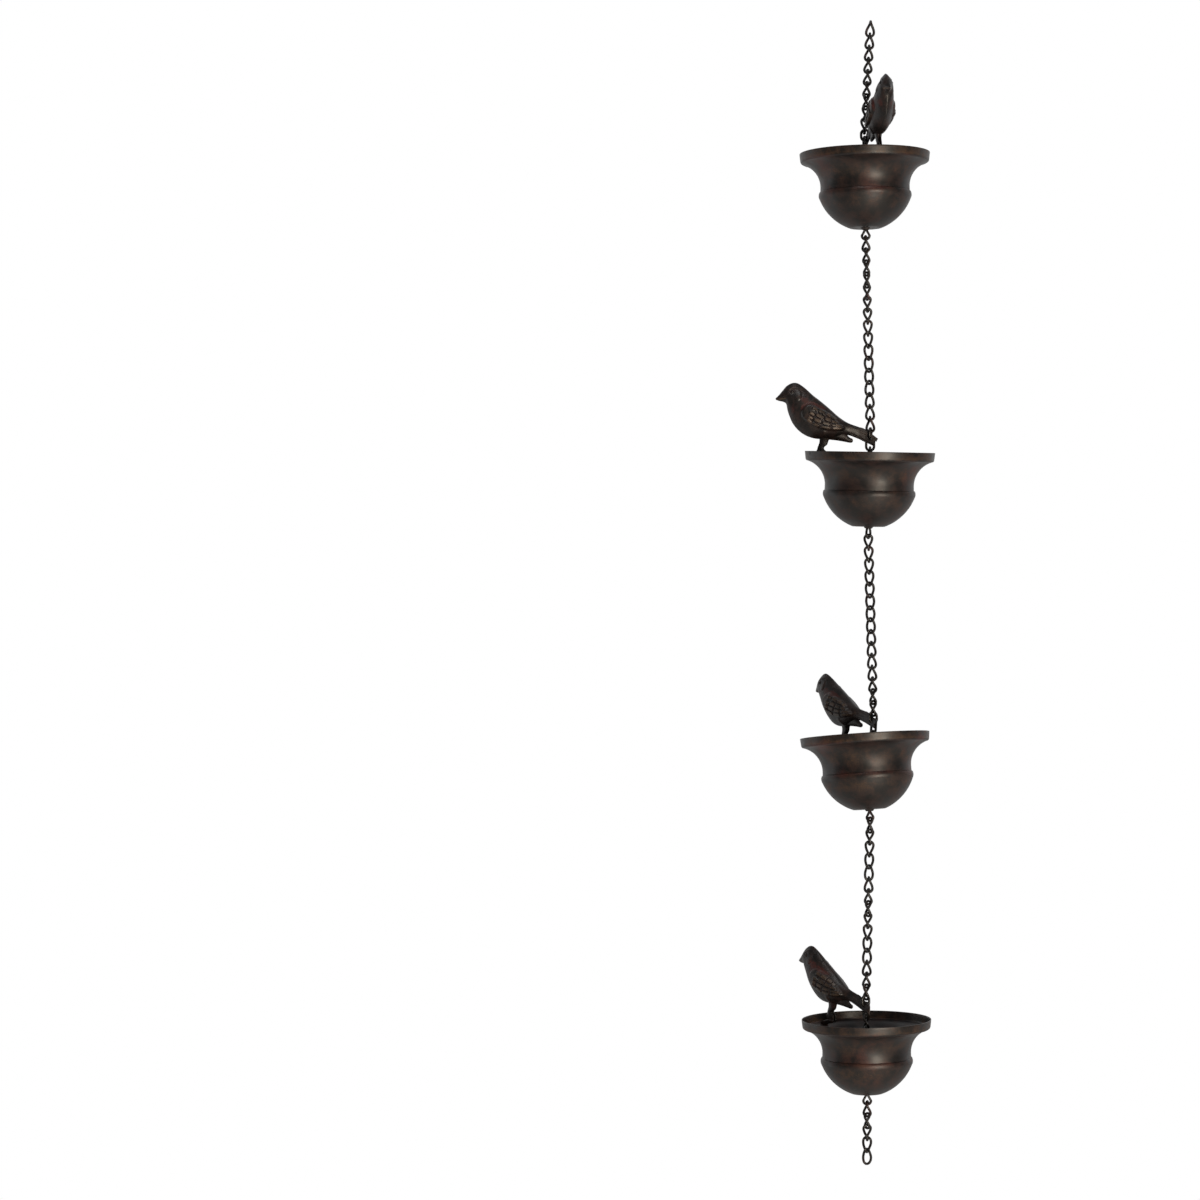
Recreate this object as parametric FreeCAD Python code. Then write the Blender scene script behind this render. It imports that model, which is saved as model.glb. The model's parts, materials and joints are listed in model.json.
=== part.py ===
import FreeCAD, Part
import math
import os
from FreeCAD import Placement, Rotation, Vector

# Rain chain: four spun sheet cups with a sheet metal bird on each rim, hung on
# a chain of twisted links that runs down through the cups.
# Millimetres and degrees, +Z up, the front facing -Y. The origin is the inside
# of the top link's crown, where a hook carries the chain. A turn is about +Z,
# anticlockwise seen from above.

# Chain links
WIRE = 2.2
LINK_LENGTH = 15.01
LINK_WIDTH = 8.8
LINK_TWIST = 90.0
LINK_PLAY = 0.46
WIRE_SIDES = 6

# Short flat link that passes through the hole in a bird's tail
TAIL_LINK_LENGTH = 11.31
TAIL_LINK_TURN = 75.0

# Waisted link whose shoulders carry a cup by its neck
NECK_LINK_SEAT = 4.7
NECK_LINK_DROP = 10.8
NECK_LOOP_RADIUS = 2.7
NECK_LINK_PINCH = 0.15

# Cup, spun from sheet; heights are above the outside of its floor
WALL = 0.8
CUP_HEIGHT = 63.0
RIM_RADIUS = 55.0
RIM_TAPER = 0.7
RIM_BAND = 6.0
RIM_ROLL = 2.0
WAIST_RADIUS = 37.6
WAIST_HEIGHT = 35.0
BEAD_RADIUS = 39.2
BEAD_HEIGHT = 27.6
BEAD_RISE = 3.0
BOWL_RADIUS = 31.0
BOWL_HEIGHT = 12.2
FLOOR_RADIUS = 13.5
NECK_LENGTH = 1.6
NECK_WALL = 0.5
NECK_FLARE = 1.2
SLIT_WIDTH = 1.1
SLIT_DEPTH = 5.2
SLIT_TURN = 23.4

# Bird, pressed from sheet in a left and a right half
SHEET = 0.7
WING_RELIEF = 0.9
HOLE_CLEARANCE = 1.1
LEG_SPREAD = 0.9
FOOT_SPREAD = 1.6
LEG_THICKNESS = 1.6
TOE_WIDTH = 3.0

# Clearances
SEAT_GAP = 0.2
SIDE_GAP = 0.15

# The bird's own frame: x runs from the tail hook at 0 to the beak at -80, z is
# above the rim's top edge, and y is off the middle plane, its left side at -y.
# A ring is its top point, its bottom point and half its thickness.
BODY_RINGS = (
    ((-80.6, 44.0), (-80.4, 42.8), 0.35),
    ((-77.8, 46.7), (-77.6, 41.8), 1.7),
    ((-74.4, 50.9), (-74.1, 41.1), 3.2),
    ((-71.5, 54.4), (-71.5, 39.4), 4.4),
    ((-67.0, 57.0), (-70.2, 34.0), 5.6),
    ((-62.2, 57.0), (-68.4, 28.9), 6.6),
    ((-56.3, 53.4), (-65.7, 23.2), 8.5),
    ((-48.9, 47.0), (-60.9, 17.4), 10.0),
    ((-42.6, 42.3), (-54.3, 12.9), 10.2),
    ((-35.2, 36.3), (-46.2, 10.5), 9.8),
    ((-27.9, 30.0), (-36.5, 10.3), 8.4),
    ((-22.5, 26.2), (-27.9, 11.6), 5.6),
    ((-17.5, 23.6), (-19.6, 13.9), 2.9),
    ((-9.8, 21.0), (-11.0, 11.3), 1.2),
    ((-4.4, 19.2), (-5.9, 9.0), SHEET),
    ((6.6, 11.4), (3.4, 4.9), 0.3),
)
HOLLOW_RINGS = slice(3, 13)
RUMP_RINGS = (
    ((-25.0, 19.0), (-27.5, 12.0), 3.4),
    ((-19.3, 14.2), (-20.8, 8.2), 1.5),
    ((-15.9, 11.6), (-17.3, 7.1), 0.8),
    ((-14.7, 10.0), (-15.3, 8.3), 0.4),
)
# The wing's raised edge, from its shoulder over the back to its tip
WING_OUTLINE = (
    (-59.0, 31.5),
    (-54.5, 38.6),
    (-46.0, 38.9),
    (-35.5, 33.6),
    (-25.5, 25.4),
    (-21.2, 19.2),
    (-29.0, 17.0),
    (-40.0, 17.0),
    (-53.0, 20.5),
)
# A leg's rings: x, height and half its width along x
LEG_RINGS = ((-39.6, 14.0, 3.0), (-40.0, 7.0, 3.1), (-41.0, 3.0, 3.3), (-41.5, -4.5, 4.0))
TOE_HEEL = ((-37.5, -3.2), (-37.5, -7.0))
TOE_TIP = ((-51.6, -5.9), (-50.6, -9.6))

# Each cup from the top: where its floor's centre hangs, its lean to the right
# and to the back, the turn of its bird, how far the tail hook stands off the
# cup's axis, and the turn of its neck link
CUPS = (
    {"at": (-3.8, 0.0), "lean": (-0.9, 3.5), "bird": 104.5, "hook": (0.0, 0.0), "neck": 130.0},
    {"at": (-0.8, 0.0), "lean": (1.0, 0.0), "bird": 0.0, "hook": (0.0, 0.0), "neck": 25.0},
    {"at": (0.6, 0.0), "lean": (-3.9, 6.0), "bird": -54.2, "hook": (8.6, 6.2), "neck": 110.0},
    {"at": (-0.9, 0.0), "lean": (-0.7, 0.0), "bird": -45.7, "hook": (0.0, 0.0), "neck": -45.0},
)
SLIT_CUP = 1
# The run of links above each cup: how many, and the turns of the first, of the
# one where the turning changes, and of the last, which is set by the bird
RUNS = (
    {"links": 9, "turns": ((0, -40.0), (5, -70.0), (8, -120.5))},
    {"links": 16, "turns": ((0, 118.0), (15, -45.0))},
    {"links": 15, "turns": ((0, 45.0), (11, -40.0), (14, -99.2))},
    {"links": 15, "turns": ((0, 90.0), (14, -270.7))},
)
INNER_LINKS = 7
BOTTOM_RUN = {"links": 5, "turns": ((0, -60.0), (4, -190.0))}


def horizontal(turn):
    """Unit vector at a turn from +X."""
    return Vector(math.cos(math.radians(turn)), math.sin(math.radians(turn)), 0)


def ring_of_wire(half_width, height, lie, span, twist):
    """One polygon of a link's wire. The lie is the wire's outward direction in
    the link's plane, 0 at the top crown, 90 on the right leg, 180 below."""
    share = height / span * math.pi / 2
    turn = -twist / 2 * math.sin(share)
    turn_rate = -math.radians(twist) / 2 * math.cos(share) * math.pi / 2 / span
    across = horizontal(turn)
    sin_lie = math.sin(math.radians(lie))
    cos_lie = math.cos(math.radians(lie))
    centre = across * half_width + Vector(0, 0, height)
    along = across * cos_lie + Vector(0, 0, -sin_lie)
    along = along + horizontal(turn + 90) * (-half_width * turn_rate * sin_lie)
    along.normalize()
    side = along.cross(across * sin_lie + Vector(0, 0, cos_lie))
    side.normalize()
    outward = side.cross(along)
    # The polygon's corners lie on the round wire, with a flat towards the seat
    step = 2 * math.pi / WIRE_SIDES
    radius = WIRE / 2
    corners = []
    for index in range(WIRE_SIDES):
        angle = (index + 0.5) * step
        corners.append(centre + outward * (radius * math.cos(angle)) + side * (radius * math.sin(angle)))
    return corners


def link_solid(stations, twist):
    """A closed link from stations down its right side: half width, height and
    lie. The left side mirrors them."""
    span = stations[0][1]
    loop = list(stations)
    for half_width, height, lie in reversed(stations[1:-1]):
        loop.append((-half_width, height, 360 - lie))
    rings = [ring_of_wire(x, z, lie, span, twist) for x, z, lie in loop]
    faces = []
    for index, ring in enumerate(rings):
        after = rings[(index + 1) % len(rings)]
        for corner in range(WIRE_SIDES):
            beside = (corner + 1) % WIRE_SIDES
            for triangle in (
                (ring[corner], ring[beside], after[beside]),
                (ring[corner], after[beside], after[corner]),
            ):
                faces.append(Part.Face(Part.makePolygon(triangle + (triangle[0],))))
    solid = Part.Solid(Part.Shell(faces))
    if solid.Volume < 0:
        solid.reverse()
    return solid


def arc_stations(radius, centre, lies):
    """Stations on a half circle of a link's centre line."""
    stations = []
    for lie in lies:
        angle = math.radians(lie)
        stations.append((radius * math.sin(angle), centre + radius * math.cos(angle), lie))
    return stations


def plain_link(length, twist):
    """A link of two half circles and two straight legs, centred on the origin."""
    radius = (LINK_WIDTH - WIRE) / 2
    leg = (length - WIRE) / 2 - radius
    stations = arc_stations(radius, leg, (0, 45, 90)) + arc_stations(radius, -leg, (90, 135, 180))
    return link_solid(stations, twist)


def neck_link():
    """The link in a cup's neck, pinched at the neck, in the cup's frame."""
    top = NECK_LINK_SEAT + WIRE / 2
    bottom = -NECK_LINK_DROP + WIRE / 2
    middle = (top + bottom) / 2
    radius = (LINK_WIDTH - WIRE) / 2
    pinch = WIRE / 2 + NECK_LINK_PINCH
    upper = arc_stations(NECK_LOOP_RADIUS, top - middle - NECK_LOOP_RADIUS, (0, 45, 90))
    waist = [(pinch, WALL - middle, 90), (pinch, -NECK_LENGTH - SEAT_GAP - middle, 90)]
    lower = arc_stations(radius, bottom - middle + radius, (90, 135, 180))
    solid = link_solid(upper + waist + lower, LINK_TWIST)
    solid.translate(Vector(0, 0, middle))
    return solid


def link_pitch(length):
    """Distance between the two junctions of a plain link."""
    return length - 2 * WIRE - LINK_PLAY


def tail_sheet_offset():
    """How far the tail's middle plane stands off the chain's axis."""
    return WIRE / 2 + SIDE_GAP + SHEET


def tail_link_offset():
    """How far the tail link's axis stands off the chain's axis."""
    inside = LINK_WIDTH / 2 - WIRE
    return tail_sheet_offset() - (inside - SHEET - SIDE_GAP)


def tail_link_pitch():
    """Distance between the junctions of the tail link, whose neighbours lie
    beside its axis and so ride up its arcs."""
    trough = LINK_WIDTH / 2 - WIRE - WIRE / 2 - LINK_PLAY
    ride = trough - math.sqrt(trough**2 - tail_link_offset() ** 2)
    return link_pitch(TAIL_LINK_LENGTH) - 2 * ride - SIDE_GAP


def arc_edge(start, middle, end):
    """An arc through three points of the cup's profile."""
    points = [Vector(r, 0, z) for r, z in (start, middle, end)]
    return Part.Arc(*points).toShape()


def line_edge(start, end):
    """A straight stretch of the cup's profile."""
    return Part.makeLine(Vector(start[0], 0, start[1]), Vector(end[0], 0, end[1]))


def cup_profile():
    """The outside of the cup from its rim's edge to its axis."""
    rim = (RIM_RADIUS, CUP_HEIGHT)
    band = (RIM_RADIUS - RIM_TAPER, CUP_HEIGHT - RIM_BAND)
    flare = (band[0] - RIM_ROLL, band[1] - RIM_ROLL)
    roll = (band[0] - 0.3 * RIM_ROLL, band[1] - 0.7 * RIM_ROLL)
    # The flare is an arc that leaves the waist upright
    rise = flare[1] - WAIST_HEIGHT
    reach = flare[0] - WAIST_RADIUS
    sweep = 2 * math.atan2(reach, rise)
    flare_radius = rise / math.sin(sweep)
    curve = (
        WAIST_RADIUS + flare_radius * (1 - math.cos(sweep / 2)),
        WAIST_HEIGHT + flare_radius * math.sin(sweep / 2),
    )
    waist = (WAIST_RADIUS, WAIST_HEIGHT)
    shoulder = (BEAD_RADIUS - 0.5 * (BEAD_RADIUS - WAIST_RADIUS), BEAD_HEIGHT + BEAD_RISE)
    dip = (WAIST_RADIUS + 0.15 * (BEAD_RADIUS - WAIST_RADIUS), (WAIST_HEIGHT + shoulder[1]) / 2)
    bead = (BEAD_RADIUS, BEAD_HEIGHT)
    under = (shoulder[0], BEAD_HEIGHT - BEAD_RISE)
    bowl = (BOWL_RADIUS, BOWL_HEIGHT)
    floor = (FLOOR_RADIUS, 0)
    return Part.Wire(
        [
            line_edge(rim, band),
            arc_edge(band, roll, flare),
            arc_edge(flare, curve, waist),
            arc_edge(waist, dip, shoulder),
            arc_edge(shoulder, bead, under),
            arc_edge(under, bowl, floor),
            line_edge(floor, (0, 0)),
        ]
    )


def spun(wire):
    """The solid of revolution under a profile that runs from the rim to the axis."""
    points = [vertex.Point for vertex in wire.Vertexes]
    rim = max(points, key=lambda point: point.z)
    foot = min(points, key=lambda point: point.x)
    top = Vector(0, 0, rim.z)
    edges = wire.Edges + [Part.makeLine(rim, top), Part.makeLine(top, foot)]
    outline = Part.Wire(Part.__sortEdges__(edges))
    return Part.Face(outline).revolve(Vector(0, 0, 0), Vector(0, 0, 1), 360)


def hollow(gap):
    """The space inside a cup, less a gap from its wall."""
    return spun(cup_profile().makeOffset2D(-(WALL + gap), 0, False, True, False))


def cup_solid(with_slit):
    """One cup in its own frame, its floor's outside at z = 0."""
    neck_bore = WIRE + NECK_LINK_PINCH + SIDE_GAP
    neck_radius = neck_bore + NECK_WALL
    cup = spun(cup_profile()).cut(hollow(0))
    neck = Part.makeCone(neck_radius, neck_radius + NECK_FLARE, NECK_LENGTH, Vector(0, 0, -NECK_LENGTH))
    bore = Part.makeCone(
        neck_bore,
        neck_radius + NECK_FLARE,
        NECK_LENGTH + WALL,
        Vector(0, 0, -NECK_LENGTH),
    )
    cup = cup.fuse(neck).cut(bore)
    if with_slit:
        reach = RIM_RADIUS + WALL
        outline = Part.makePolygon(
            [
                Vector(0, -SLIT_WIDTH / 2, CUP_HEIGHT + WALL),
                Vector(0, SLIT_WIDTH / 2, CUP_HEIGHT + WALL),
                Vector(0, 0, CUP_HEIGHT - SLIT_DEPTH),
                Vector(0, -SLIT_WIDTH / 2, CUP_HEIGHT + WALL),
            ]
        )
        slit = Part.Face(outline).extrude(Vector(reach, 0, 0))
        slit.rotate(Vector(0, 0, 0), Vector(0, 0, 1), 180 + SLIT_TURN)
        cup = cup.cut(slit)
    return cup.Solids[0]


def bird_ring(top, bottom, half_thickness, grow):
    """An ellipse across the bird, grown by a relief or shrunk by a sheet."""
    top = Vector(top[0], 0, top[1])
    bottom = Vector(bottom[0], 0, bottom[1])
    centre = (top + bottom) / 2
    half_height = (top - bottom).Length / 2 + grow
    upward = (top - bottom).normalize()
    side = Vector(0, half_thickness + grow, 0)
    ellipse = Part.Ellipse(centre + upward * half_height, centre + side, centre)
    return Part.Wire([ellipse.toShape()])


def bird_loft(rings, grow):
    """A body through rings of the bird, straight from each ring to the next."""
    return Part.makeLoft([bird_ring(top, bottom, half, grow) for top, bottom, half in rings], True, True)


def side_outline(points):
    """A closed smooth outline in the bird's middle plane."""
    curve = Part.BSplineCurve()
    curve.interpolate(Points=[Vector(x, 0, z) for x, z in points], PeriodicFlag=True)
    return Part.Face(Part.Wire([curve.toShape()]))


def left_space():
    """A block that holds the bird's left side."""
    length = BODY_RINGS[-1][0][0] - BODY_RINGS[0][0][0]
    corner = Vector(BODY_RINGS[0][0][0] - length, -length, -length)
    return Part.makeBox(3 * length, length, 3 * length, corner)


def leg_solid():
    """The left leg with its toes, before it is fitted to a cup."""
    top_height = LEG_RINGS[0][1]
    drop = top_height - LEG_RINGS[-1][1]
    rings = []
    for x, z, half_width in LEG_RINGS:
        y = -LEG_SPREAD - (FOOT_SPREAD - LEG_SPREAD) * (top_height - z) / drop
        centre = Vector(x, y, z)
        ellipse = Part.Ellipse(centre + Vector(half_width, 0, 0), centre + Vector(0, LEG_THICKNESS / 2, 0), centre)
        rings.append(Part.Wire([ellipse.toShape()]))
    leg = Part.makeLoft(rings, True, True)
    ends = []
    for (upper, lower), width in ((TOE_HEEL, LEG_THICKNESS), (TOE_TIP, TOE_WIDTH)):
        corners = []
        for point, across in ((upper, -1), (upper, 1), (lower, 1), (lower, -1), (upper, -1)):
            corners.append(Vector(point[0], -FOOT_SPREAD + across * width / 2, point[1]))
        ends.append(Part.makePolygon(corners))
    toes = Part.makeLoft(ends, True, True)
    return leg.fuse(toes)


def bird_half():
    """The pressed left half of the bird, still solid and without its leg."""
    shell = bird_loft(BODY_RINGS, 0).common(left_space())
    wing = side_outline(WING_OUTLINE).extrude(Vector(0, -2 * BODY_RINGS[8][2], 0))
    wing = wing.common(bird_loft(BODY_RINGS, WING_RELIEF))
    shell = shell.fuse(wing)
    return shell.fuse(bird_loft(RUMP_RINGS, 0).common(left_space()))


def placed(shape, placement):
    """A copy of a shape at a place."""
    copy = shape.copy()
    copy.Placement = placement.multiply(copy.Placement)
    return copy


def turned(turn):
    """A turn about +Z."""
    return Rotation(Vector(0, 0, 1), turn)


def tail_hole_height(hook):
    """Height above the rim of the tail link's crossing through the tail."""
    slant = (tail_sheet_offset() - tail_link_offset()) / math.sin(math.radians(TAIL_LINK_TURN))
    radius = (LINK_WIDTH - WIRE) / 2
    arc_centre = tail_link_height(hook) - (TAIL_LINK_LENGTH - WIRE) / 2 + radius
    return arc_centre - math.sqrt(radius**2 - slant**2) - CUP_HEIGHT


def inner_chain_rise(hook):
    """Height of the slanting inner chain from the neck link to the tail link."""
    return math.sqrt((INNER_LINKS * link_pitch(LINK_LENGTH)) ** 2 - hook[0] ** 2 - hook[1] ** 2)


def tail_link_height(hook):
    """Height of the tail link's middle above the cup's floor."""
    return NECK_LINK_SEAT + inner_chain_rise(hook) + tail_link_pitch() / 2


def bird_place(cup):
    """The bird's place in its cup's frame."""
    hook = Placement(Vector(cup["hook"][0], cup["hook"][1], CUP_HEIGHT), turned(cup["bird"]))
    return hook.multiply(Placement(Vector(0, -tail_sheet_offset(), 0), Rotation()))


def swapped(shape):
    """A shape mirrored from one side of the bird to the other."""
    return shape.mirror(Vector(0, 0, 0), Vector(0, 1, 0))


def fitted_bird(shell, core, room, cup):
    """The left and the right half of the bird, each with its leg seated in the
    cup, in the bird's frame. The right half is fitted as a left one, mirrored."""
    slant = (tail_sheet_offset() - tail_link_offset()) / math.tan(math.radians(TAIL_LINK_TURN))
    hole = Part.makeCylinder(
        WIRE / 2 + HOLE_CLEARANCE,
        4 * LEG_THICKNESS,
        Vector(-slant, -2 * LEG_THICKNESS, tail_hole_height(cup["hook"])),
        Vector(0, 1, 0),
    )
    half = shell.cut(hole)
    space = placed(room, bird_place(cup).inverse())
    left = half.fuse(leg_solid().common(space)).cut(core).Solids[0]
    right = half.fuse(leg_solid().common(swapped(space))).cut(core).Solids[0]
    return {"left": left, "right": swapped(right)}


def turn_at(turns, index):
    """The turn of a link in a run, between the turns that the run states."""
    for (first, start), (last, end) in zip(turns, turns[1:]):
        if index <= last:
            return start + (end - start) * (index - first) / (last - first)
    return turns[-1][1]


def hung_link(shape, upper, lower, turn):
    """A link placed between its two junctions."""
    axis = upper - lower
    tilt = Rotation(Vector(0, 0, 1), axis)
    return placed(shape, Placement((upper + lower) / 2, tilt.multiply(turned(turn))))


def hung_run(shape, upper, lower, turns, count):
    """The links of a straight run between two junctions."""
    links = []
    for index in range(count):
        start = upper + (lower - upper) * (index / count)
        end = upper + (lower - upper) * ((index + 1) / count)
        links.append(hung_link(shape, start, end, turn_at(turns, index)))
    return links


def export(name, shapes):
    """Write one node."""
    shape = shapes[0] if len(shapes) == 1 else Part.makeCompound(shapes)
    shape.exportStep("parts/" + name + ".step")


def nearest_turn(turn, goal):
    """A turn that looks the same as the goal, as near as can be to a turn."""
    return turn + (goal - turn + 90) % 180 - 90


def main():
    """Build the chain from the top down and write its nodes."""
    os.makedirs("parts", exist_ok=True)
    pitch = link_pitch(LINK_LENGTH)
    link = plain_link(LINK_LENGTH, LINK_TWIST)
    flat_link = plain_link(LINK_LENGTH, 0)
    tail_link = plain_link(TAIL_LINK_LENGTH, 0)
    waisted_link = neck_link()
    shell = bird_half()
    core = bird_loft(BODY_RINGS[HOLLOW_RINGS], -SHEET)
    above = Part.makeCylinder(RIM_RADIUS - RIM_TAPER - WALL - SEAT_GAP, CUP_HEIGHT, Vector(0, 0, CUP_HEIGHT))
    room = hollow(SEAT_GAP).fuse(above)
    birds = {}
    # The first junction lies half the play below the crown that is the origin
    upper = Vector(0, 0, -LINK_PLAY / 2)
    for number, cup in enumerate(CUPS, 1):
        run = RUNS[number - 1]
        hook = Vector(cup["hook"][0], cup["hook"][1], 0)
        lean = Rotation(Vector(0, 1, 0), cup["lean"][0]).multiply(Rotation(Vector(1, 0, 0), -cup["lean"][1]))
        # The tail link's junctions in the cup's frame, then the cup's own place
        tail_middle = tail_link_height(cup["hook"])
        tail_top = hook + Vector(0, 0, tail_middle + tail_link_pitch() / 2)
        tail_bottom = hook + Vector(0, 0, tail_middle - tail_link_pitch() / 2)
        reach = lean.multVec(tail_top)
        across = Vector(cup["at"][0] + reach.x - upper.x, cup["at"][1] + reach.y - upper.y, 0)
        drop = math.sqrt((run["links"] * pitch) ** 2 - across.Length**2)
        lower = upper + across - Vector(0, 0, drop)
        place = Placement(lower - reach, lean)
        links = hung_run(link, upper, lower, run["turns"], run["links"])
        if number == 1:
            export("top_link", links[:1])
            export("chain_top", links[1:])
        else:
            export("chain_%d_%d" % (number - 1, number), links)
        # The tail link, off the chain's axis towards the bird's left
        stand = turned(cup["bird"]).multVec(Vector(0, -tail_link_offset(), 0))
        hung_tail = hung_link(tail_link, tail_top + stand, tail_bottom + stand, cup["bird"] + TAIL_LINK_TURN)
        export("tail_link_%d" % number, [placed(hung_tail, place)])
        # The inner chain: a flat link beside the tail, then twisted ones
        seat = Vector(0, 0, NECK_LINK_SEAT)
        step = (seat - tail_bottom) / INNER_LINKS
        inner = [hung_link(flat_link, tail_bottom, tail_bottom + step, cup["bird"])]
        start_turn = cup["bird"] - LINK_TWIST / 2
        neck_turn = cup["neck"]
        turns = ((0, start_turn), (INNER_LINKS - 1, nearest_turn(start_turn, neck_turn)))
        inner += hung_run(link, tail_bottom + step, seat, turns, INNER_LINKS - 1)
        export("chain_in_cup_%d" % number, [placed(one, place) for one in inner])
        export("neck_link_%d" % number, [placed(waisted_link, place.multiply(Placement(Vector(), turned(neck_turn))))])
        export("cup_%d" % number, [placed(cup_solid(number - 1 == SLIT_CUP), place)])
        # Cups whose chain hangs alike seat the same bird, because a cup is round
        if cup["hook"] not in birds:
            birds[cup["hook"]] = fitted_bird(shell, core, room, cup)
        for name, half in birds[cup["hook"]].items():
            export("bird_%d_%s_half" % (number, name), [placed(half, place.multiply(bird_place(cup)))])
        upper = place.multVec(Vector(0, 0, -NECK_LINK_DROP + WIRE + LINK_PLAY / 2))
    lower = upper - Vector(0, 0, BOTTOM_RUN["links"] * pitch)
    links = hung_run(link, upper, lower, BOTTOM_RUN["turns"], BOTTOM_RUN["links"])
    export("chain_bottom", links[:-1])
    export("bottom_link", links[-1:])


main()
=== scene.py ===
import json
import logging
import math
import random
from collections.abc import Sequence
from dataclasses import dataclass, field
from enum import Enum

import bmesh
import bpy
import numpy as np
from mathutils import Matrix, Vector, noise

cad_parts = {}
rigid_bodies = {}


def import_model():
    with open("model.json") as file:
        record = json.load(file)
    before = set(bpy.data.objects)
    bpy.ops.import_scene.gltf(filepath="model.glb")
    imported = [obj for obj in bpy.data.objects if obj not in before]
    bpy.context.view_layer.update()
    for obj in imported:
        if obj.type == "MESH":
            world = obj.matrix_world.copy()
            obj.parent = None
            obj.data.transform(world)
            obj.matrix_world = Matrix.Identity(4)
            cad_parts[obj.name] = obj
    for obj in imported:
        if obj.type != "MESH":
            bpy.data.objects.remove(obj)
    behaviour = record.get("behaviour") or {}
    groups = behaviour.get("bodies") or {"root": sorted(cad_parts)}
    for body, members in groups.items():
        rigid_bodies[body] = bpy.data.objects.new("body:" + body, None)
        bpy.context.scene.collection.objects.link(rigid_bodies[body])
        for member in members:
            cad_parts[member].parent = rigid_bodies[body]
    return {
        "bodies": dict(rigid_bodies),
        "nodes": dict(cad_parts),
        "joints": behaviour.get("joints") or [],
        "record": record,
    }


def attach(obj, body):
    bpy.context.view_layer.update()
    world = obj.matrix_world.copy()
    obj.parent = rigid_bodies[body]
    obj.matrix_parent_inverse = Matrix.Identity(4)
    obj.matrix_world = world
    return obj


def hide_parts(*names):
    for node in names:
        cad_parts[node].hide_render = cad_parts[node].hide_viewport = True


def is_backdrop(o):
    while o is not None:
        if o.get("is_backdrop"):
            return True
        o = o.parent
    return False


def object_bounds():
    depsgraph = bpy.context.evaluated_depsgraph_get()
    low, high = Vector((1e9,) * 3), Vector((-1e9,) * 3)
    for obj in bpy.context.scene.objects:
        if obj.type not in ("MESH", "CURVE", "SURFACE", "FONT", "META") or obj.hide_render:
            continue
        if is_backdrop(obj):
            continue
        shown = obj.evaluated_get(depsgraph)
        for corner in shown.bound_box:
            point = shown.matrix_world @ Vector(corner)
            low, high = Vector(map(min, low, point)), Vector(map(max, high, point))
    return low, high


# Sizes are in millimetres and degrees, and become metres where a mesh is stored.
MM = 0.001
# How far a link can move at each of its junctions
PLAY = 0.46

Table = Sequence[Sequence[float]]

logging.basicConfig(level=logging.INFO, format="%(message)s")
LOG = logging.getLogger("rain_chain")

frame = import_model()


class Slot(Enum):
    """The record's material slots."""

    WIRE = "chain_wire"
    CUP = "cup_sheet"
    BIRD = "bird_sheet"


class Side(Enum):
    """The two pressed halves of a bird."""

    LEFT = -1
    RIGHT = 1


class Bend(Enum):
    """The kinds of link that the wire is bent into."""

    PLAIN = "plain"
    FLAT = "flat"
    TAIL = "tail"
    NECK = "neck"


class Work(Enum):
    """What a tool does to a piece."""

    CUT = "DIFFERENCE"
    JOIN = "UNION"
    TRIM = "INTERSECT"


def srgb(code: str) -> tuple[float, float, float, float]:
    """Turn an sRGB hex colour into a linear one.

    Args:
        code: Six hex digits, with or without the leading hash.

    Returns:
        Linear red, green, blue and an alpha of one.
    """
    digits = code.lstrip("#")
    shares = [int(digits[i:i + 2], 16) / 255 for i in (0, 2, 4)]
    linear = [c / 12.92 if c <= 0.04045 else ((c + 0.055) / 1.055) ** 2.4 for c in shares]
    return (linear[0], linear[1], linear[2], 1.0)


def turned(degrees: float, axis: str = "Z") -> Matrix:
    """A turn about an axis of the frame."""
    return Matrix.Rotation(math.radians(degrees), 4, axis)


def smooth(low: float, high: float, value: np.ndarray) -> np.ndarray:
    """Rise smoothly from 0 at low to 1 at high.

    Args:
        low: The value that gives 0.
        high: The value that gives 1.
        value: The values to map.

    Returns:
        The mapped values, from 0 to 1.
    """
    share = np.clip((value - low) / (high - low), 0.0, 1.0)
    return share * share * (3 - 2 * share)


def hill(away: np.ndarray, width: float) -> np.ndarray:
    """A smooth hill: 1 where away is zero, and 0.37 at the width."""
    return np.exp(-((away / width) ** 2))


def catmull(points: Table, share: float) -> np.ndarray:
    """A point on a smooth line through points.

    Args:
        points: The points that the line passes through.
        share: The place on the line, counted in points from the first.

    Returns:
        The point there.
    """
    last = len(points) - 1
    index = min(int(share), last - 1)
    t = share - index
    p0, p1, p2, p3 = (np.array(points[min(max(index + k, 0), last)]) for k in (-1, 0, 1, 2))
    square = 2 * p0 - 5 * p1 + 4 * p2 - p3
    cube = 3 * p1 - p0 - 3 * p2 + p3
    return 0.5 * (2 * p1 + (p2 - p0) * t + square * t**2 + cube * t**3)


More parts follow.
